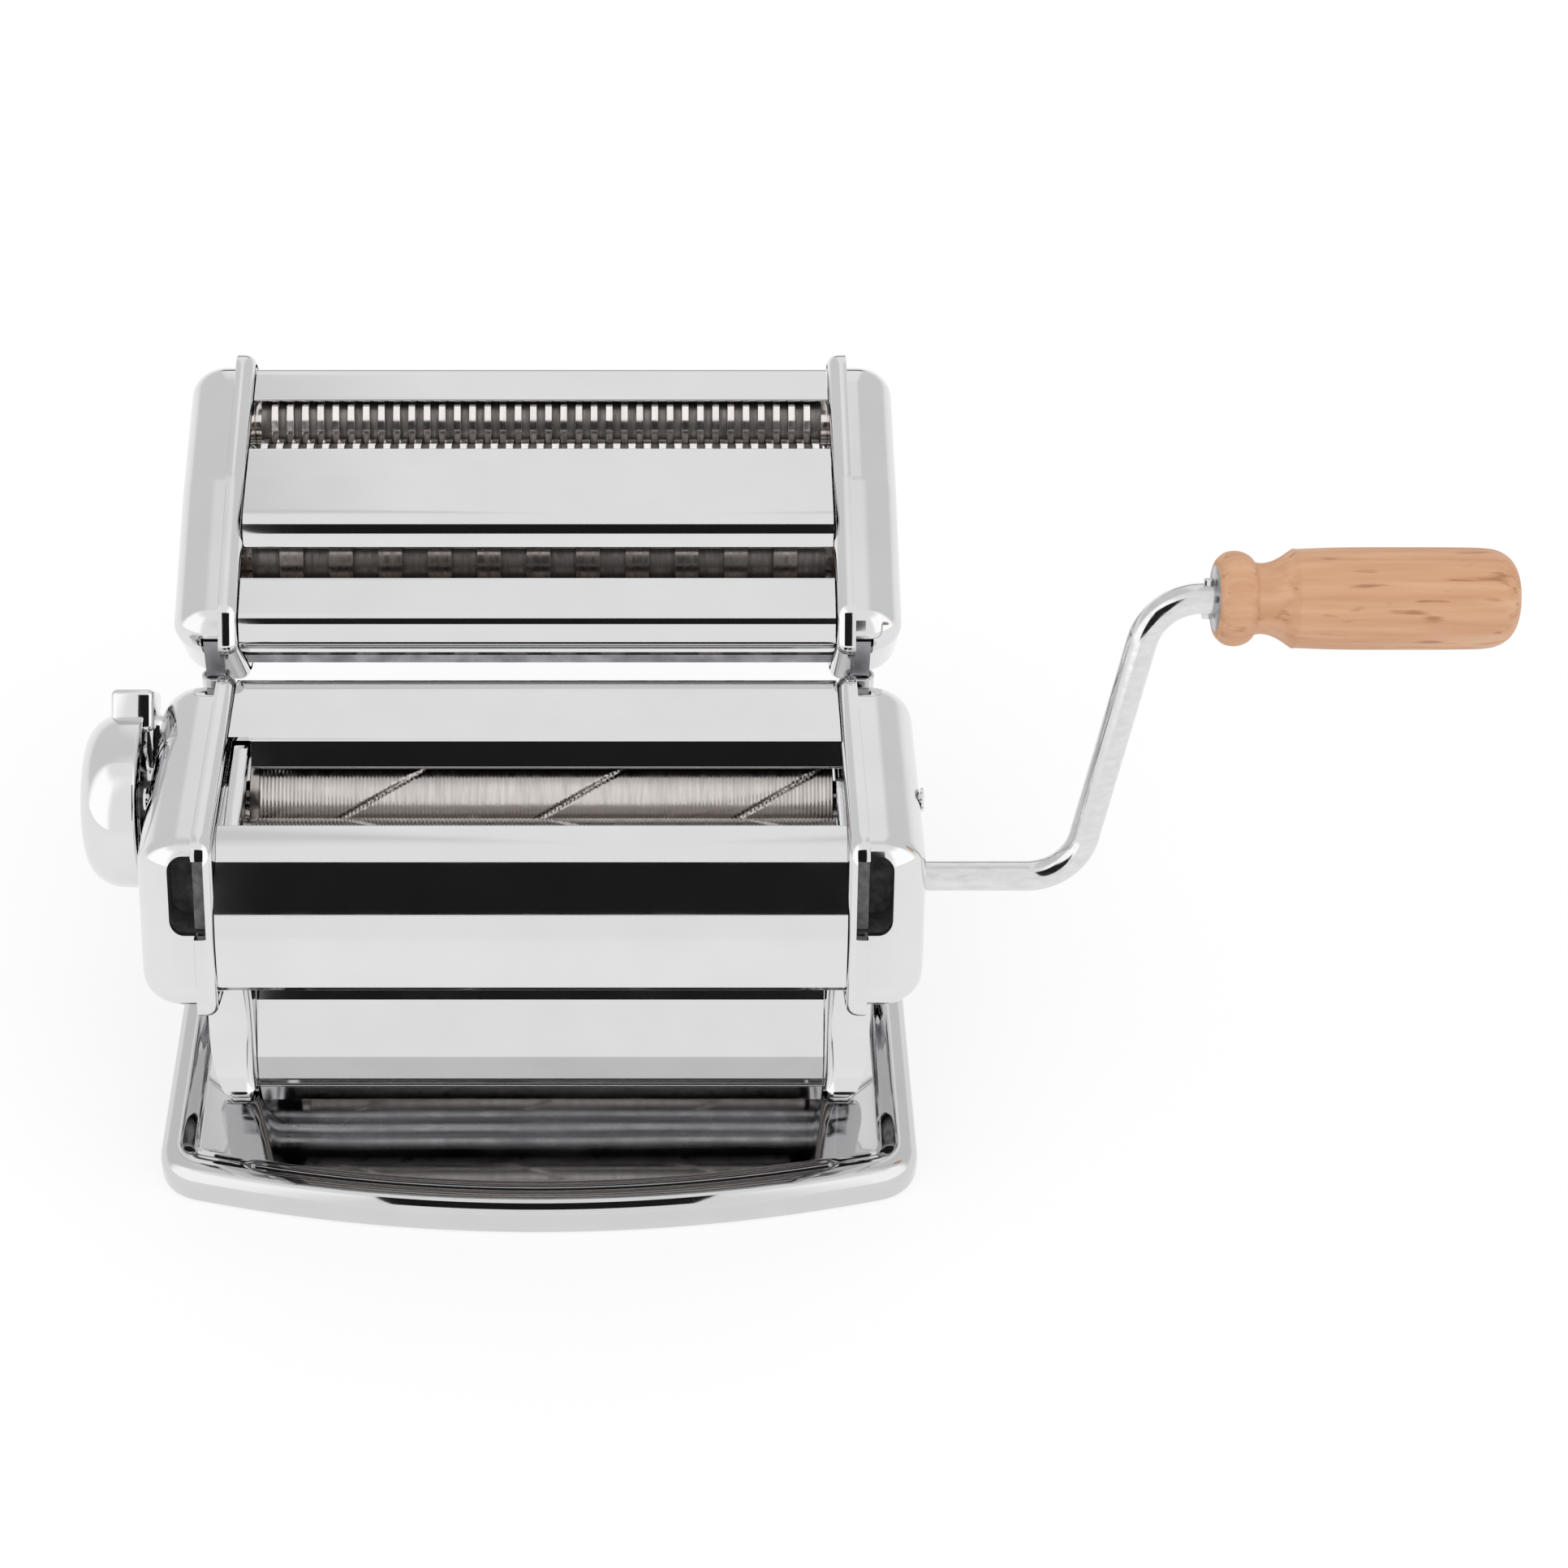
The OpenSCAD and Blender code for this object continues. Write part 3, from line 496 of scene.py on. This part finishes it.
# ---------------------------------------------------------------- legs
def leg(side):
    web_loop = [(-40, 9), (17, 9), (12, 62), (5.5, 80), (4, 104), (-24, 105.5), (-50, 107.8), (-60, 104),
                (-67.5, 92), (-71.5, 80), (-71.5, 73), (-60, 68), (-35.2, 62), (-35.2, 36)]
    holes = [circle(FRONT, 8), slot_hole(REAR, 5.4, 2.2), slot_hole(BAR, 2.9, 2.2)] + \
        [circle(p, 2.1, 24) for p in TIES + [LOW_TIE]]
    web = plate("leg_web", [web_loop] + holes, 76, 77.5, 0.15)
    heights = [9.9 + 0.25 * i for i in range(4)] + [11 + 15 * i / 24 for i in range(25)]
    rows = []
    for z in heights + [30, 36, 44, 52, 62, 66]:
        # t grows towards the foot, where the front flange flares out and its bend widens
        t = min(1.0, max(0.0, (25 - z) / 15.2))
        flare = 3.4 * (1 - math.sqrt(1 - (0.97 * t) ** 2))
        r = 2.2 + 1.6 * t
        edge = 87.6 - 4.6 * (1 - math.sqrt(1 - (0.98 * t) ** 2))
        y0 = -43 + 0.2 * min(z - 9.9, 26) - flare
        start, bend, tip = (76, y0 + 5.5), (76, y0), (edge, y0)
        p = [start] + fillet(start, bend, tip, min(r, edge - 76.6), 12) + [(edge - 0.5, y0), tip]
        rows.append([(x, y, z) for x, y in p + moved(p, 1.45)[::-1]])
    flange = raw("leg_flange", *loft(rows))
    rear_loop = [(76, 12), (84, 12), (84, 10.5), (77.5, 10.5), (77.5, 9), (76, 9)]
    rear = raw("leg_rear", *loft([[(x, y, z) for x, y in rear_loop] for z in (9.9, 62)]))
    foot_loop = [(77.5, -44.9), (82.4, -44.9), (89.5, -38.0), (89.5, 17), (77.5, 17)]
    foot = raw("foot", *loft([[(x, y, z) for x, y in foot_loop] for z in (8.25, 9.75)]))
    bev = foot.modifiers.new("b", "BEVEL")
    bev.width, bev.segments, bev.limit_method = 0.35 * MM, 2, "ANGLE"
    baked(foot)
    obj = joined("leg_look_" + side, web, flange, rear, foot)
    if side == "left":
        flipped(obj)
    return dressed(obj, CHROME, "frame", [side + "_leg"], 22)


leg("right")
leg("left")

# ---------------------------------------------------------------- side plates with rolled rims


def side_plate(name, outline, holes, body, node, mirror, pocket):
    """Side plate whose edge is rolled outward; pocket cuts the opening for a hook."""
    web = plate(name + "_web", [closed(inset(outline, 2.3))] + holes, WEB_X, 79, 0.12)
    # (x, how far inward)
    prof = [(77.5, 3.4), (77.5, 2.5), (77.62, 1.85), (77.95, 1.25), (78.45, 0.72), (79.1, 0.33), (79.9, 0.09),
            (80.7, 0), (81.6, 0), (82.35, 0.02), (82.5, 0.2), (82.5, 1.3), (82.35, 1.5), (80.6, 1.55),
            (79.8, 1.75), (79.25, 2.3), (79.0, 3.4)]
    rim = raw(name + "_rim", *loft([at_x(x, closed(inset(outline, d))) for x, d in prof], wrap=True))
    if pocket:
        cut(rim, pocket_tool())
    obj = joined(name, web, rim)
    if mirror:
        flipped(obj)
    return dressed(obj, CHROME, body, [node])


def pocket_loop(grow=0.0):
    """Opening for a hook in the front of an end cover, as (x, z)."""
    g = grow
    return fillet((79.5 - g, 91.6 - g), (88.5 + g, 91.6 - g), (88.5 + g, 110.8 + g), 3.6 + g, 8) + \
        fillet((88.5 + g, 91.6 - g), (88.5 + g, 110.8 + g), (79.5 - g, 110.8 + g), 3.6 + g, 8) + \
        [(79.5 - g, 110.8 + g), (79.5 - g, 91.6 - g)]


def pocket_tool():
    lp = pocket_loop()
    return raw("pocket_tool", *loft([[(x, y, z) for x, z in lp] for y in (-90, -60.5)]))


head_holes = [circle(FRONT, 8), slot_hole(REAR, 5.4, 2.2), slot_hole(BAR, 2.9, 2.2)] + \
    [circle(p, 2.1, 24) for p in TIES]
cut_holes = [circle(p, 7.55) for p in (WIDE_F, WIDE_R, FINE_F, FINE_R)] + \
    [circle(p, 1.6, 24) for p in CUT_TIES]
for side in ("left", "right"):
    side_plate(f"head_plate_look_{side}", HEAD, head_holes, "frame", f"{side}_head_plate",
               side == "left", True)
    side_plate(f"cutter_plate_look_{side}", CUTTER, cut_holes, "cutter", f"cutter_{side}_plate",
               side == "left", False)


# ---------------------------------------------------------------- end covers
def solid_cap(name, outline, x_flat, x_end, deep):
    """Hollow cover: straight to x_flat, then a quarter ellipse that turns in by deep at x_end."""
    rx = x_end - x_flat
    outer = [(81.7, 1.55), (82.2, 1.55), (x_flat - 0.5, 1.55)]
    inner = [(81.7, 2.75), (x_flat - 0.5, 2.75)]
    for i in range(17):
        a = math.pi / 2 * i / 16
        outer.append((x_flat + rx * sin(a), 1.55 + deep * (1 - cos(a))))
        if i % 2 == 0:
            inner.append((x_flat + (rx - 1.2) * sin(a), 2.75 + (deep - 0.6) * (1 - cos(a))))
    rings = [at_x(x, closed(inset(outline, d))) for x, d in inner[::-1] + outer]
    return raw(name, *loft(rings))


def scoop(r, wall):
    """Rounded trough that runs out from the rear roller's axis; with a wall it is its lining."""
    tilt = rad(46)
    u, b = (cos(tilt), sin(tilt)), (-sin(tilt), cos(tilt))
    rings = []
    for i in range(17):
        t = -1 + i / 8
        k = r * math.sqrt(max(0.02, 1 - abs(t) ** 6))
        loop = [(k * cos(rad(a)), k * sin(rad(a))) for a in range(-90, 91, 15)]
        if wall:
            loop += [((k + wall) * cos(rad(a)), (k + wall) * sin(rad(a))) for a in range(90, -91, -15)]
        else:
            loop += [(-5, k), (-5, -k)]
        d = 15.5 + 6.8 * t
        rings.append([(97.6 - c, REAR[0] + u[0] * d + b[0] * e, REAR[1] + u[1] * d + b[1] * e)
                      for c, e in loop])
    return raw("scoop", *loft(rings))


def knob_pin_place(step):
    """Centre of the hole that the knob's lock pin stands in at a step."""
    a = rad(-15 - 30 * step)
    return (REAR[0] + PIN_RADIUS * cos(a), REAR[1] + PIN_RADIUS * sin(a))


for side in ("left", "right"):
    tools = [pocket_tool()]
    if side == "right":
        tools.append(cylinder("t", FRONT, 4.7, 94, 99))
    else:
        tools.append(cylinder("t", REAR, 5.1, 94, 99))
        tools += [cylinder("t", knob_pin_place(i), 1.7, 94, 99, 24) for i in range(6)]
        tools.append(scoop(3.0, 0))
    c = cut(solid_cap("c", HEAD_CAP, 86.5, 97, 9.8), *tools)
    if side == "left":
        c = flipped(joined("c", c, scoop(2.98, 0.5)))
    c.name = f"end_cover_look_{side}"
    dressed(c, CHROME, "frame", [side + "_end_cover"], 30)
    tools = [rounded_box("t", 81, 87.2, 10, 13.6, 105.5, 120, 0.3)]
    if side == "right":
        tools += [cylinder("t", p, 5.2, 91, 97) for p in (WIDE_F, FINE_F)]
    c = cut(solid_cap("c", CUTTER_CAP, 85.5, 95, 8.4), *tools)
    c.name = f"cutter_cover_look_{side}"
    if side == "left":
        flipped(c)
    dressed(c, CHROME, "cutter", [f"cutter_{side}_cover"], 30)

# dark boxes that line the two hook pockets, painted shade of the pockets, and the rear hook loops
def front_y(z, d):
    """Depth d behind the head's leaning front edge, at height z."""
    return -64.5 - 0.372 * (114.5 - z) + 1.65 + d


def loop_section(g):
    """Plan of a rear hook loop, moved inward by g."""
    pts = [(80.1 + g, 9.0 + g, 2.6 - g), (87.9 - g, 9.0 + g, 2.6 - g), (87.9 - g, 14.4 - g, 2.6 - g),
           (80.1 + g, 14.4 - g, 2.6 - g)]
    return [p for i in range(4) for p in fillet(pts[i - 1], pts[i], pts[(i + 1) % 4], pts[i][2], 6)]


LOOP_RINGS = [(97.2, 0.3), (97.0, 0.5), (97.0, 0.7), (97.2, 1.15), (107.8, 1.15), (108, 0.8), (108, 0.4),
              (107.8, 0.0), (97.4, 0.0)]
STEP_LOOP = [(79.7, 91.7), (82.6, 91.7), (82.6, 111.2), (79.7, 111.2)]
for hand in ("right", "left"):
    lp = pocket_loop(0.25)
    tray = raw("tray", *loft([[(x, front_y(z, d), z) for x, z in lp] for d in (1.15, 5, 9)], (False, True)))
    so = tray.modifiers.new("s", "SOLIDIFY")
    so.thickness, so.offset = 0.5 * MM, 1
    baked(tray)
    blk = raw("blk", *loft([[(x, front_y(z, d), z) for x, z in STEP_LOOP] for d in (2.4, 8.9)]))
    # both pieces carry painted shade: the tray in place of the front hook loops, and the step block
    for o, name, mat, nodes in ((tray, "hook_liner_", POCKET_SHADE, ["front_loops"]), (blk, "hook_step_", POCKET_SHADE2, [])):
        o.name = name + hand
        if hand == "left":
            flipped(o)
        dressed(o, mat, "frame", nodes)
    lo = raw("hook_loop_" + hand,
             *loft([[(x, y, z) for x, y in loop_section(g)] for z, g in LOOP_RINGS], wrap=True))
    if hand == "left":
        flipped(lo)
    dressed(lo, ROD_CHROME, "frame", ["rear_loops"])

# ---------------------------------------------------------------- folded covers
FRONT_PATH = [(-52.2, 110.6), (-61, 109.8, 18), (-71.2, 94, 40), (-74.55, 82.2, 0.5), (-75.1, 77.8, 0.7),
              (-73.6, 75.4, 0.5), (-72.2, 74.9)]
REAR_PATH = [(-26.2, 108.2), (-21.4, 113, 1.5), (6.3, 113, 6), (8.4, 84)]
CHUTE_PATH = [(-39.3, 9.6), (-37.8, 16.5, 0.5), (-30, 30, 10), (-4.7, 66)]
CUTTER_FRONT_PATH = [(24, 129.8), (13.5, 124.8, 4), (10.6, 117.5, 3), (16.4, 111.6)]
CUTTER_MIDDLE_PATH = [(61.5, 145), (51.5, 142.8, 10), (36.4, 139.3, 7), (34.5, 132.3)]
CUTTER_REAR_PATH = [(79.5, 149.2), (90.2, 152, 5), (94.6, 148.2, 4), (96.2, 122, 8), (90, 111)]
GUIDE_LOOP = [(-52, 108.8), (-44, 109.5), (-24, 110.6), (-17.5, 111.3), (-17.5, 104), (-27.2, 99.6),
              (-35, 97.8), (-43, 99.6)]

front = strip_piece("front_cover_look", FRONT_PATH, 1.2, COVER_HALF)
# the front and rear covers' inner faces take the painted shade
inside_shaded(dressed(front, CHROME, "frame", ["front_cover"]), (-50, 92))
rear = strip_piece("rear_cover_look", REAR_PATH, -1.2, COVER_HALF)
cut(rear, rounded_box("t", -80, -71.5, -30, -20.5, 100, 118, 0.8))
inside_shaded(dressed(rear, CHROME, "frame", ["rear_cover"]), (-15, 88))
chute = strip_piece("chute_look", CHUTE_PATH, -1, CHUTE_HALF)
dressed(chute, CHROME, "frame", ["chute"])
for part, path, t in (("front", CUTTER_FRONT_PATH, 1), ("middle", CUTTER_MIDDLE_PATH, 1),
                      ("rear", CUTTER_REAR_PATH, -1)):
    dressed(strip_piece(f"cutter_{part}_look", path, t, CUTTER_HALF), CHROME, "cutter",
            [f"cutter_{part}_cover"])
guide = plate("dough_guide_look", [GUIDE_LOOP], -76.2, -72.3, 0.5)
dressed(guide, CHROME, "frame", ["left_dough_guide"], 20)


# ---------------------------------------------------------------- sheeting rollers
def roller_shape(offset, slope):
    """Three spiral grooves, 50 mm apart; offset places them and slope is the hand of the spiral."""
    def shape(x, a, r):
        if r < 14 or x < -69.5:
            return r
        centre = offset + (134 - math.degrees(a)) / 360 * 150 * slope
        d = (x - centre + 25) % 50 - 25
        return r - 0.55 * max(0.0, 1 - (d / 1.35) ** 2)
    return shape


def sheeting_roller(name, centre, left, right, shape):
    prof = left + [(-72, 14.1), (-71.8, 14.45), (-69.7, 14.45), (-69.5, 14.2)]
    x = -69.2
    while x < 75.0:
        prof += [(x, ROLLER_R), (x + 0.485, ROLLER_R - 0.26)]
        x += 0.97
    prof += [(75.2, 14.45), (75.4, 14.1)] + right
    return lathe(name, centre, prof, 240, shape)


fr = sheeting_roller("front_roller_look", FRONT, [(-84, 0.4), (-84, 4.7), (-83.7, 5), (-72, 5)],
                     [(75.5, 6.5), (94.9, 6.5), (95.2, 6.2), (95.2, SOCKET_R), (81, SOCKET_R), (81, 3.3),
                      (75, 3.2), (75, 0.4)],
                     roller_shape(-38.7 + 22, -1))
dressed(fr, ROLLER, "front_roller", ["front_roller"], 28)
rr = sheeting_roller("rear_roller_look", REAR, [(-83.3, 0.4), (-83.3, 4.7), (-83, 5), (-72, 5)],
                     [(75.5, 5), (94.2, 5), (94.5, 4.7), (94.5, 0.4)], roller_shape(-38.7, 1))
dressed(rr, ROLLER, "rear_roller", ["rear_roller"], 28)


# ---------------------------------------------------------------- cutter rollers
def cutter_roller(name, centre, pitch, k, x1, socket, body, node, mat):
    """Lands at a pitch; k = 1 moves them by half a pitch, so that they run in the other roller's grooves."""
    halves = math.floor(150 / (pitch / 2))
    count = math.ceil(halves / 2) if k == 0 else halves // 2
    w, e = pitch / 2 - 0.1, 0.12
    prof = [(-84, 0.4), (-84, 5.7), (-83.7, 6), (-75.6, 6), (-75.6, GROOVE_R)]
    for i in range(count):
        a = -halves * pitch / 4 + (i + k / 2) * pitch
        prof += [(a, GROOVE_R), (a + 0.01, LAND_R - e), (a + e, LAND_R), (a + w - e, LAND_R),
                 (a + w - 0.01, LAND_R - e), (a + w, GROOVE_R)]
    prof += [(75.6, GROOVE_R), (75.6, 6), (x1 - 0.3, 6), (x1, 5.7)]
    if socket:
        prof += [(x1, SOCKET_R), (81, SOCKET_R), (81, 3.3), (75, 3.2), (75, 0.4)]
    else:
        prof += [(x1, 0.4)]
    obj = dressed(lathe(name, centre, prof, 96), mat, body, [node])
    # faces below 9 mm from the axis, the groove floors, take the painted shade material
    obj.data.materials.append(GROOVE_SHADE)
    for f in obj.data.polygons:
        low = math.dist((f.center.y / MM, f.center.z / MM), centre) < 9.0
        f.material_index = 1 if low and abs(f.center.x / MM) < 75.5 else 0
    return obj


cutter_roller("fine_front_look", FINE_F, 4.1, 0, 93, True, "fine_front", "fine_roller_front", FINE)
cutter_roller("fine_rear_look", FINE_R, 4.1, 1, 88.5, False, "fine_rear", "fine_roller_rear", FINE)
cutter_roller("wide_front_look", WIDE_F, 13, 0, 93, True, "wide_front", "wide_roller_front", CUT)
cutter_roller("wide_rear_look", WIDE_R, 13, 1, 88.5, False, "wide_rear", "wide_roller_rear", CUT)

# ---------------------------------------------------------------- knob
knob_prof = [(-99.7, 15), (-99.7, 21.9), (-99.9, 22.3), (-100.3, KNOB_R), (-100.5, KNOB_R), (-103, KNOB_R),
             (-105, 22.45)]
for i in range(1, 15):
    a = math.pi / 2 * i / 14
    knob_prof.append((-105 - 9.7 * sin(a), 22.45 - 8.6 * (1 - cos(a))))
knob_prof += [(-115.0, 9), (-115.2, 4), (-115.25, 0.3)]
dome = lathe("dome", REAR, [(-102, 0.3), (-102, 14.6)] + knob_prof, 96)
tab = rounded_box("tab", -108.2, -97.4, 17.5, 28.3, -7.5, 7.5, 1.5, 4)
fin_loop = [(-97.4, 27), (-99.2, 27), (-99.2, 9.5), (-98.4, 8.2), (-97.9, 9.5)]
fin = raw("fin", *loft([[(x, y, z) for x, y in fin_loop] for z in (-5.5, 5.5)]))
for o in (tab, fin):
    # built with Y as the radius and Z running round the knob, then turned to the lever's angle
    m = Matrix.Translation((0, REAR[0] * MM, REAR[1] * MM)) @ Matrix.Rotation(rad(KNOB_LEVER), 4, "X")
    o.data.transform(m)
pin = cylinder("pin", knob_pin_place(0), 1.5, -100.5, -97.2, 24)
knob = joined("knob_look", dome, tab, fin, pin)
dressed(knob, CHROME, "knob", ["knob_body", "knob_cover"], 40)


# ---------------------------------------------------------------- crank and grip
def sweep(name, path, r, seg=32):
    """Round bar along a path of (x, distance from the roller's axis) in the crank's plane."""
    lean = rad(CRANK_ANGLE)
    u, b = Vector((0, cos(lean), sin(lean))), Vector((0, -sin(lean), cos(lean)))
    rings = []
    for i, p in enumerate(path):
        a, c = path[max(i - 1, 0)], path[min(i + 1, len(path) - 1)]
        t = unit((c[0] - a[0], c[1] - a[1]))
        n = (-t[1], t[0])
        rr = p[2] if len(p) > 2 else r
        rings.append([Vector((p[0] + n[0] * rr * cos(w), FRONT[0], FRONT[1])) +
                      u * (p[1] + n[1] * rr * cos(w)) + b * rr * sin(w)
                      for w in (2 * math.pi * j / seg for j in range(seg))])
    return raw(name, *loft([[tuple(v) for v in ring] for ring in rings]))


turn = 90 - math.degrees(math.atan2(CRANK_OUT, CRANK_LEN))
reach = CRANK_BEND * math.tan(rad(turn / 2))
first_bend = 134.7
x_a, x_b = first_bend - reach, first_bend + CRANK_OUT + reach
steps = [rad(turn * i / 18) for i in range(19)]
bar_path = [(81, 0, 3.3), (81.3, 0, ROD_R), (90, 0), (x_a - 8, 0)]
bar_path += [(x_a + CRANK_BEND * sin(a), CRANK_BEND - CRANK_BEND * cos(a)) for a in steps]
bar_path += [(x_b - CRANK_BEND * sin(a), CRANK_LEN - CRANK_BEND + CRANK_BEND * cos(a)) for a in steps[::-1]]
bar_path += [(x_b + 12, CRANK_LEN), (x_b + 64, CRANK_LEN)]
rod = sweep("rod", bar_path, ROD_R)
plane = Matrix.Translation((0, FRONT[0] * MM, FRONT[1] * MM)) @ Matrix.Rotation(rad(CRANK_ANGLE), 4, "X")
ear = rounded_box("ear", x_b + 0.2, x_b + 2.7, CRANK_LEN - 5.1, CRANK_LEN + 5.1, -1, 1, 0.4, 2)
tang = rounded_box("tang", 76, 83, -2.2, 2.2, -2.9, 2.9, 0.4, 2)
ear.data.transform(plane)
tang.data.transform(plane)
dressed(joined("crank_look", rod, ear, tang), ROD_CHROME, "crank", ["crank_rod"], 40)

grip_c = (FRONT[0] + CRANK_LEN * cos(rad(CRANK_ANGLE)), FRONT[1] + CRANK_LEN * sin(rad(CRANK_ANGLE)))
gx = x_b + 3.1
# (distance along the grip, radius): the bead, the neck, then the barrel
grip_prof = smooth_profile([(0.0, 8.6), (0.5, 9.6), (2.0, 10.9), (3.6, 11.4), (5.4, 11.4), (7.2, 10.8),
                            (8.4, 9.9), (9.0, 9.0)], 3)
grip_prof += smooth_profile([(9.3, 8.75), (11.0, 8.5), (13.2, 8.9), (15.4, 9.9), (17.2, 11.1),
                             (18.4, 11.9)], 3)
grip_prof += [(18.55, 11.97), (18.8, 11.95), (19.2, 11.9)]
grip_prof += smooth_profile([(19.6, 11.9), (30, 12.25), (46, 12.3), (58, 12.25), (64.5, 12.05), (67.6, 11.4),
                             (69.8, 10.1), (71.2, 8.3), (71.9, 6.2), (GRIP_LEN, 5)], 4)
bore_end = GRIP_LEN - 8
prof = [(gx + bore_end, 0.3), (gx + bore_end, SOCKET_R), (gx + 1.2, SOCKET_R), (gx + 1.2, 7.99), (gx, 7.99)]
prof += [(gx + x, r) for x, r in grip_prof] + [(gx + GRIP_LEN, 0.3)]
dressed(lathe("grip_look", grip_c, prof, 96), BEECH, "grip", ["grip"], 40)
fer = lathe("grip_ferrule_look", grip_c, [(gx - 0.2, 3.83), (gx - 0.2, 7.6), (gx, 7.95), (gx + 1.15, 7.95),
                                          (gx + 1.15, 3.83), (gx - 0.2, 3.83)], 64)
dressed(fer, ZINC, "grip", ["grip_ferrule"])

# ---------------------------------------------------------------- the other CAD nodes keep their own shape
slots = {part["node"]: part["material_slot"] for part in frame["record"]["subparts"]}
for name, obj in NODES.items():
    if obj.hide_render:
        continue
    s = slots[name]
    obj.data.materials.clear()
    obj.data.materials.append(CHROME if "cover_screws" in name else BY_SLOT[s])

# ---------------------------------------------------------------- floor, light and camera


def studio():
    """World light from the direction alone, in degrees of elevation and azimuth."""
    world = bpy.data.worlds.new("studio")
    scene.world = world
    world.use_nodes = True
    t = world.node_tree
    t.nodes.clear()
    link = t.links.new

    def op(kind, a, b=None, c=None):
        n = t.nodes.new("ShaderNodeMath")
        n.operation = kind
        for i, v in enumerate((a, b, c)):
            if v is None:
                continue
            if isinstance(v, (int, float)):
                n.inputs[i].default_value = v
            else:
                link(v, n.inputs[i])
        return n.outputs[0]

    def step(v, lo, hi):
        n = t.nodes.new("ShaderNodeMapRange")
        n.interpolation_type = "SMOOTHSTEP"
        n.inputs["From Min"].default_value, n.inputs["From Max"].default_value = lo, hi
        link(v, n.inputs["Value"])
        return n.outputs["Result"]

    coord = t.nodes.new("ShaderNodeTexCoord")
    xyz = t.nodes.new("ShaderNodeSeparateXYZ")
    link(coord.outputs["Generated"], xyz.inputs[0])
    x, y, z = xyz.outputs
    elev = op("MULTIPLY", op("ARCSINE", z), 180 / math.pi)
    # azimuth from the camera's side, the same to the left and to the right
    az = op("ABSOLUTE", op("MULTIPLY", op("ARCTAN2", x, op("MULTIPLY", y, -1)), 180 / math.pi))

    def window(v, a, b, soft):
        return op("MULTIPLY", step(v, a - soft, a + soft), op("SUBTRACT", 1, step(v, b - soft, b + soft)))

    # a dark strip low behind the machine, soft boxes at the front sides, and dimmer wings behind
    strip = op("MULTIPLY", window(elev, 6, 15, 2), step(az, 164, 172))
    box = op("MULTIPLY", window(elev, -14, 62, 10), window(az, 24, 86, 8))
    wing = op("MULTIPLY", window(az, 92, 168, 5), window(elev, 8, 80, 8))
    v = op("SUBTRACT", 0.975, op("MULTIPLY", wing, 0.22))
    v = op("ADD", v, op("MULTIPLY", box, 0.36))
    v = op("MULTIPLY", v, op("SUBTRACT", 1, op("MULTIPLY", strip, 0.88)))
    bg = t.nodes.new("ShaderNodeBackground")
    bg.inputs["Color"].default_value = (1, 1, 1, 1)
    link(v, bg.inputs["Strength"])
    out = t.nodes.new("ShaderNodeOutputWorld")
    link(bg.outputs[0], out.inputs[0])


studio()



def matte(name, a, b, scale=3):
    """Dull material with no highlight, between two near greys."""
    m, tree, bsdf = nodes_of(name)
    colour = blend_colours(tree, noise_from(tree, scale, 2), (a, a, a), (b, b, b))
    tree.links.new(colour, bsdf.inputs["Base Color"])
    bsdf.inputs["Roughness"].default_value = 0.9
    bsdf.inputs["Specular IOR Level"].default_value = 0.0
    return m, bsdf


bm = bmesh.new()
bmesh.ops.create_grid(bm, x_segments=1, y_segments=1, size=6)
me = bpy.data.meshes.new("floor")
bm.to_mesh(me)
bm.free()
floor = bpy.data.objects.new("floor", me)
floor.location.z = -0.0002
scene.collection.objects.link(floor)
floor_mat, floor_bsdf = matte("floor_white", 0.32, 0.31)
floor_bsdf.inputs["Emission Color"].default_value = (1, 1, 1, 1)
floor_bsdf.inputs["Emission Strength"].default_value = 0.68
floor.data.materials.append(floor_mat)

sun = bpy.data.lights.new("overhead", "AREA")
sun.shape, sun.size, sun.size_y, sun.energy = "RECTANGLE", 1.6, 1.2, 4
lamp = bpy.data.objects.new("overhead", sun)
lamp.location = (0.15, -0.1, 1.7)
lamp.visible_glossy = False
scene.collection.objects.link(lamp)

# black card in front of the machine, which the chrome mirrors as its dark bands; only reflections see it
CARD_X, CARD_NEAR, CARD_FAR = (-126, 112), (-400, 189), (-210, 416)
card = raw("card", [(CARD_X[0], *CARD_NEAR), (CARD_X[1], *CARD_NEAR), (CARD_X[1], *CARD_FAR),
                    (CARD_X[0], *CARD_FAR)], [(0, 1, 2, 3)])
card.data.materials.append(matte("card_black", 0.012, 0.014)[0])
card.visible_camera = card.visible_diffuse = card.visible_shadow = False

cam = bpy.data.cameras.new("camera")
cam.lens, cam.sensor_width, cam.shift_x = 72.8, 36, 0.0937
camera = bpy.data.objects.new("camera", cam)
camera.location = (0.0259, -0.642, 0.619)
camera.rotation_euler = Euler((rad(50), 0, 0))
scene.collection.objects.link(camera)
scene.camera = camera
scene.view_settings.view_transform = "Standard"
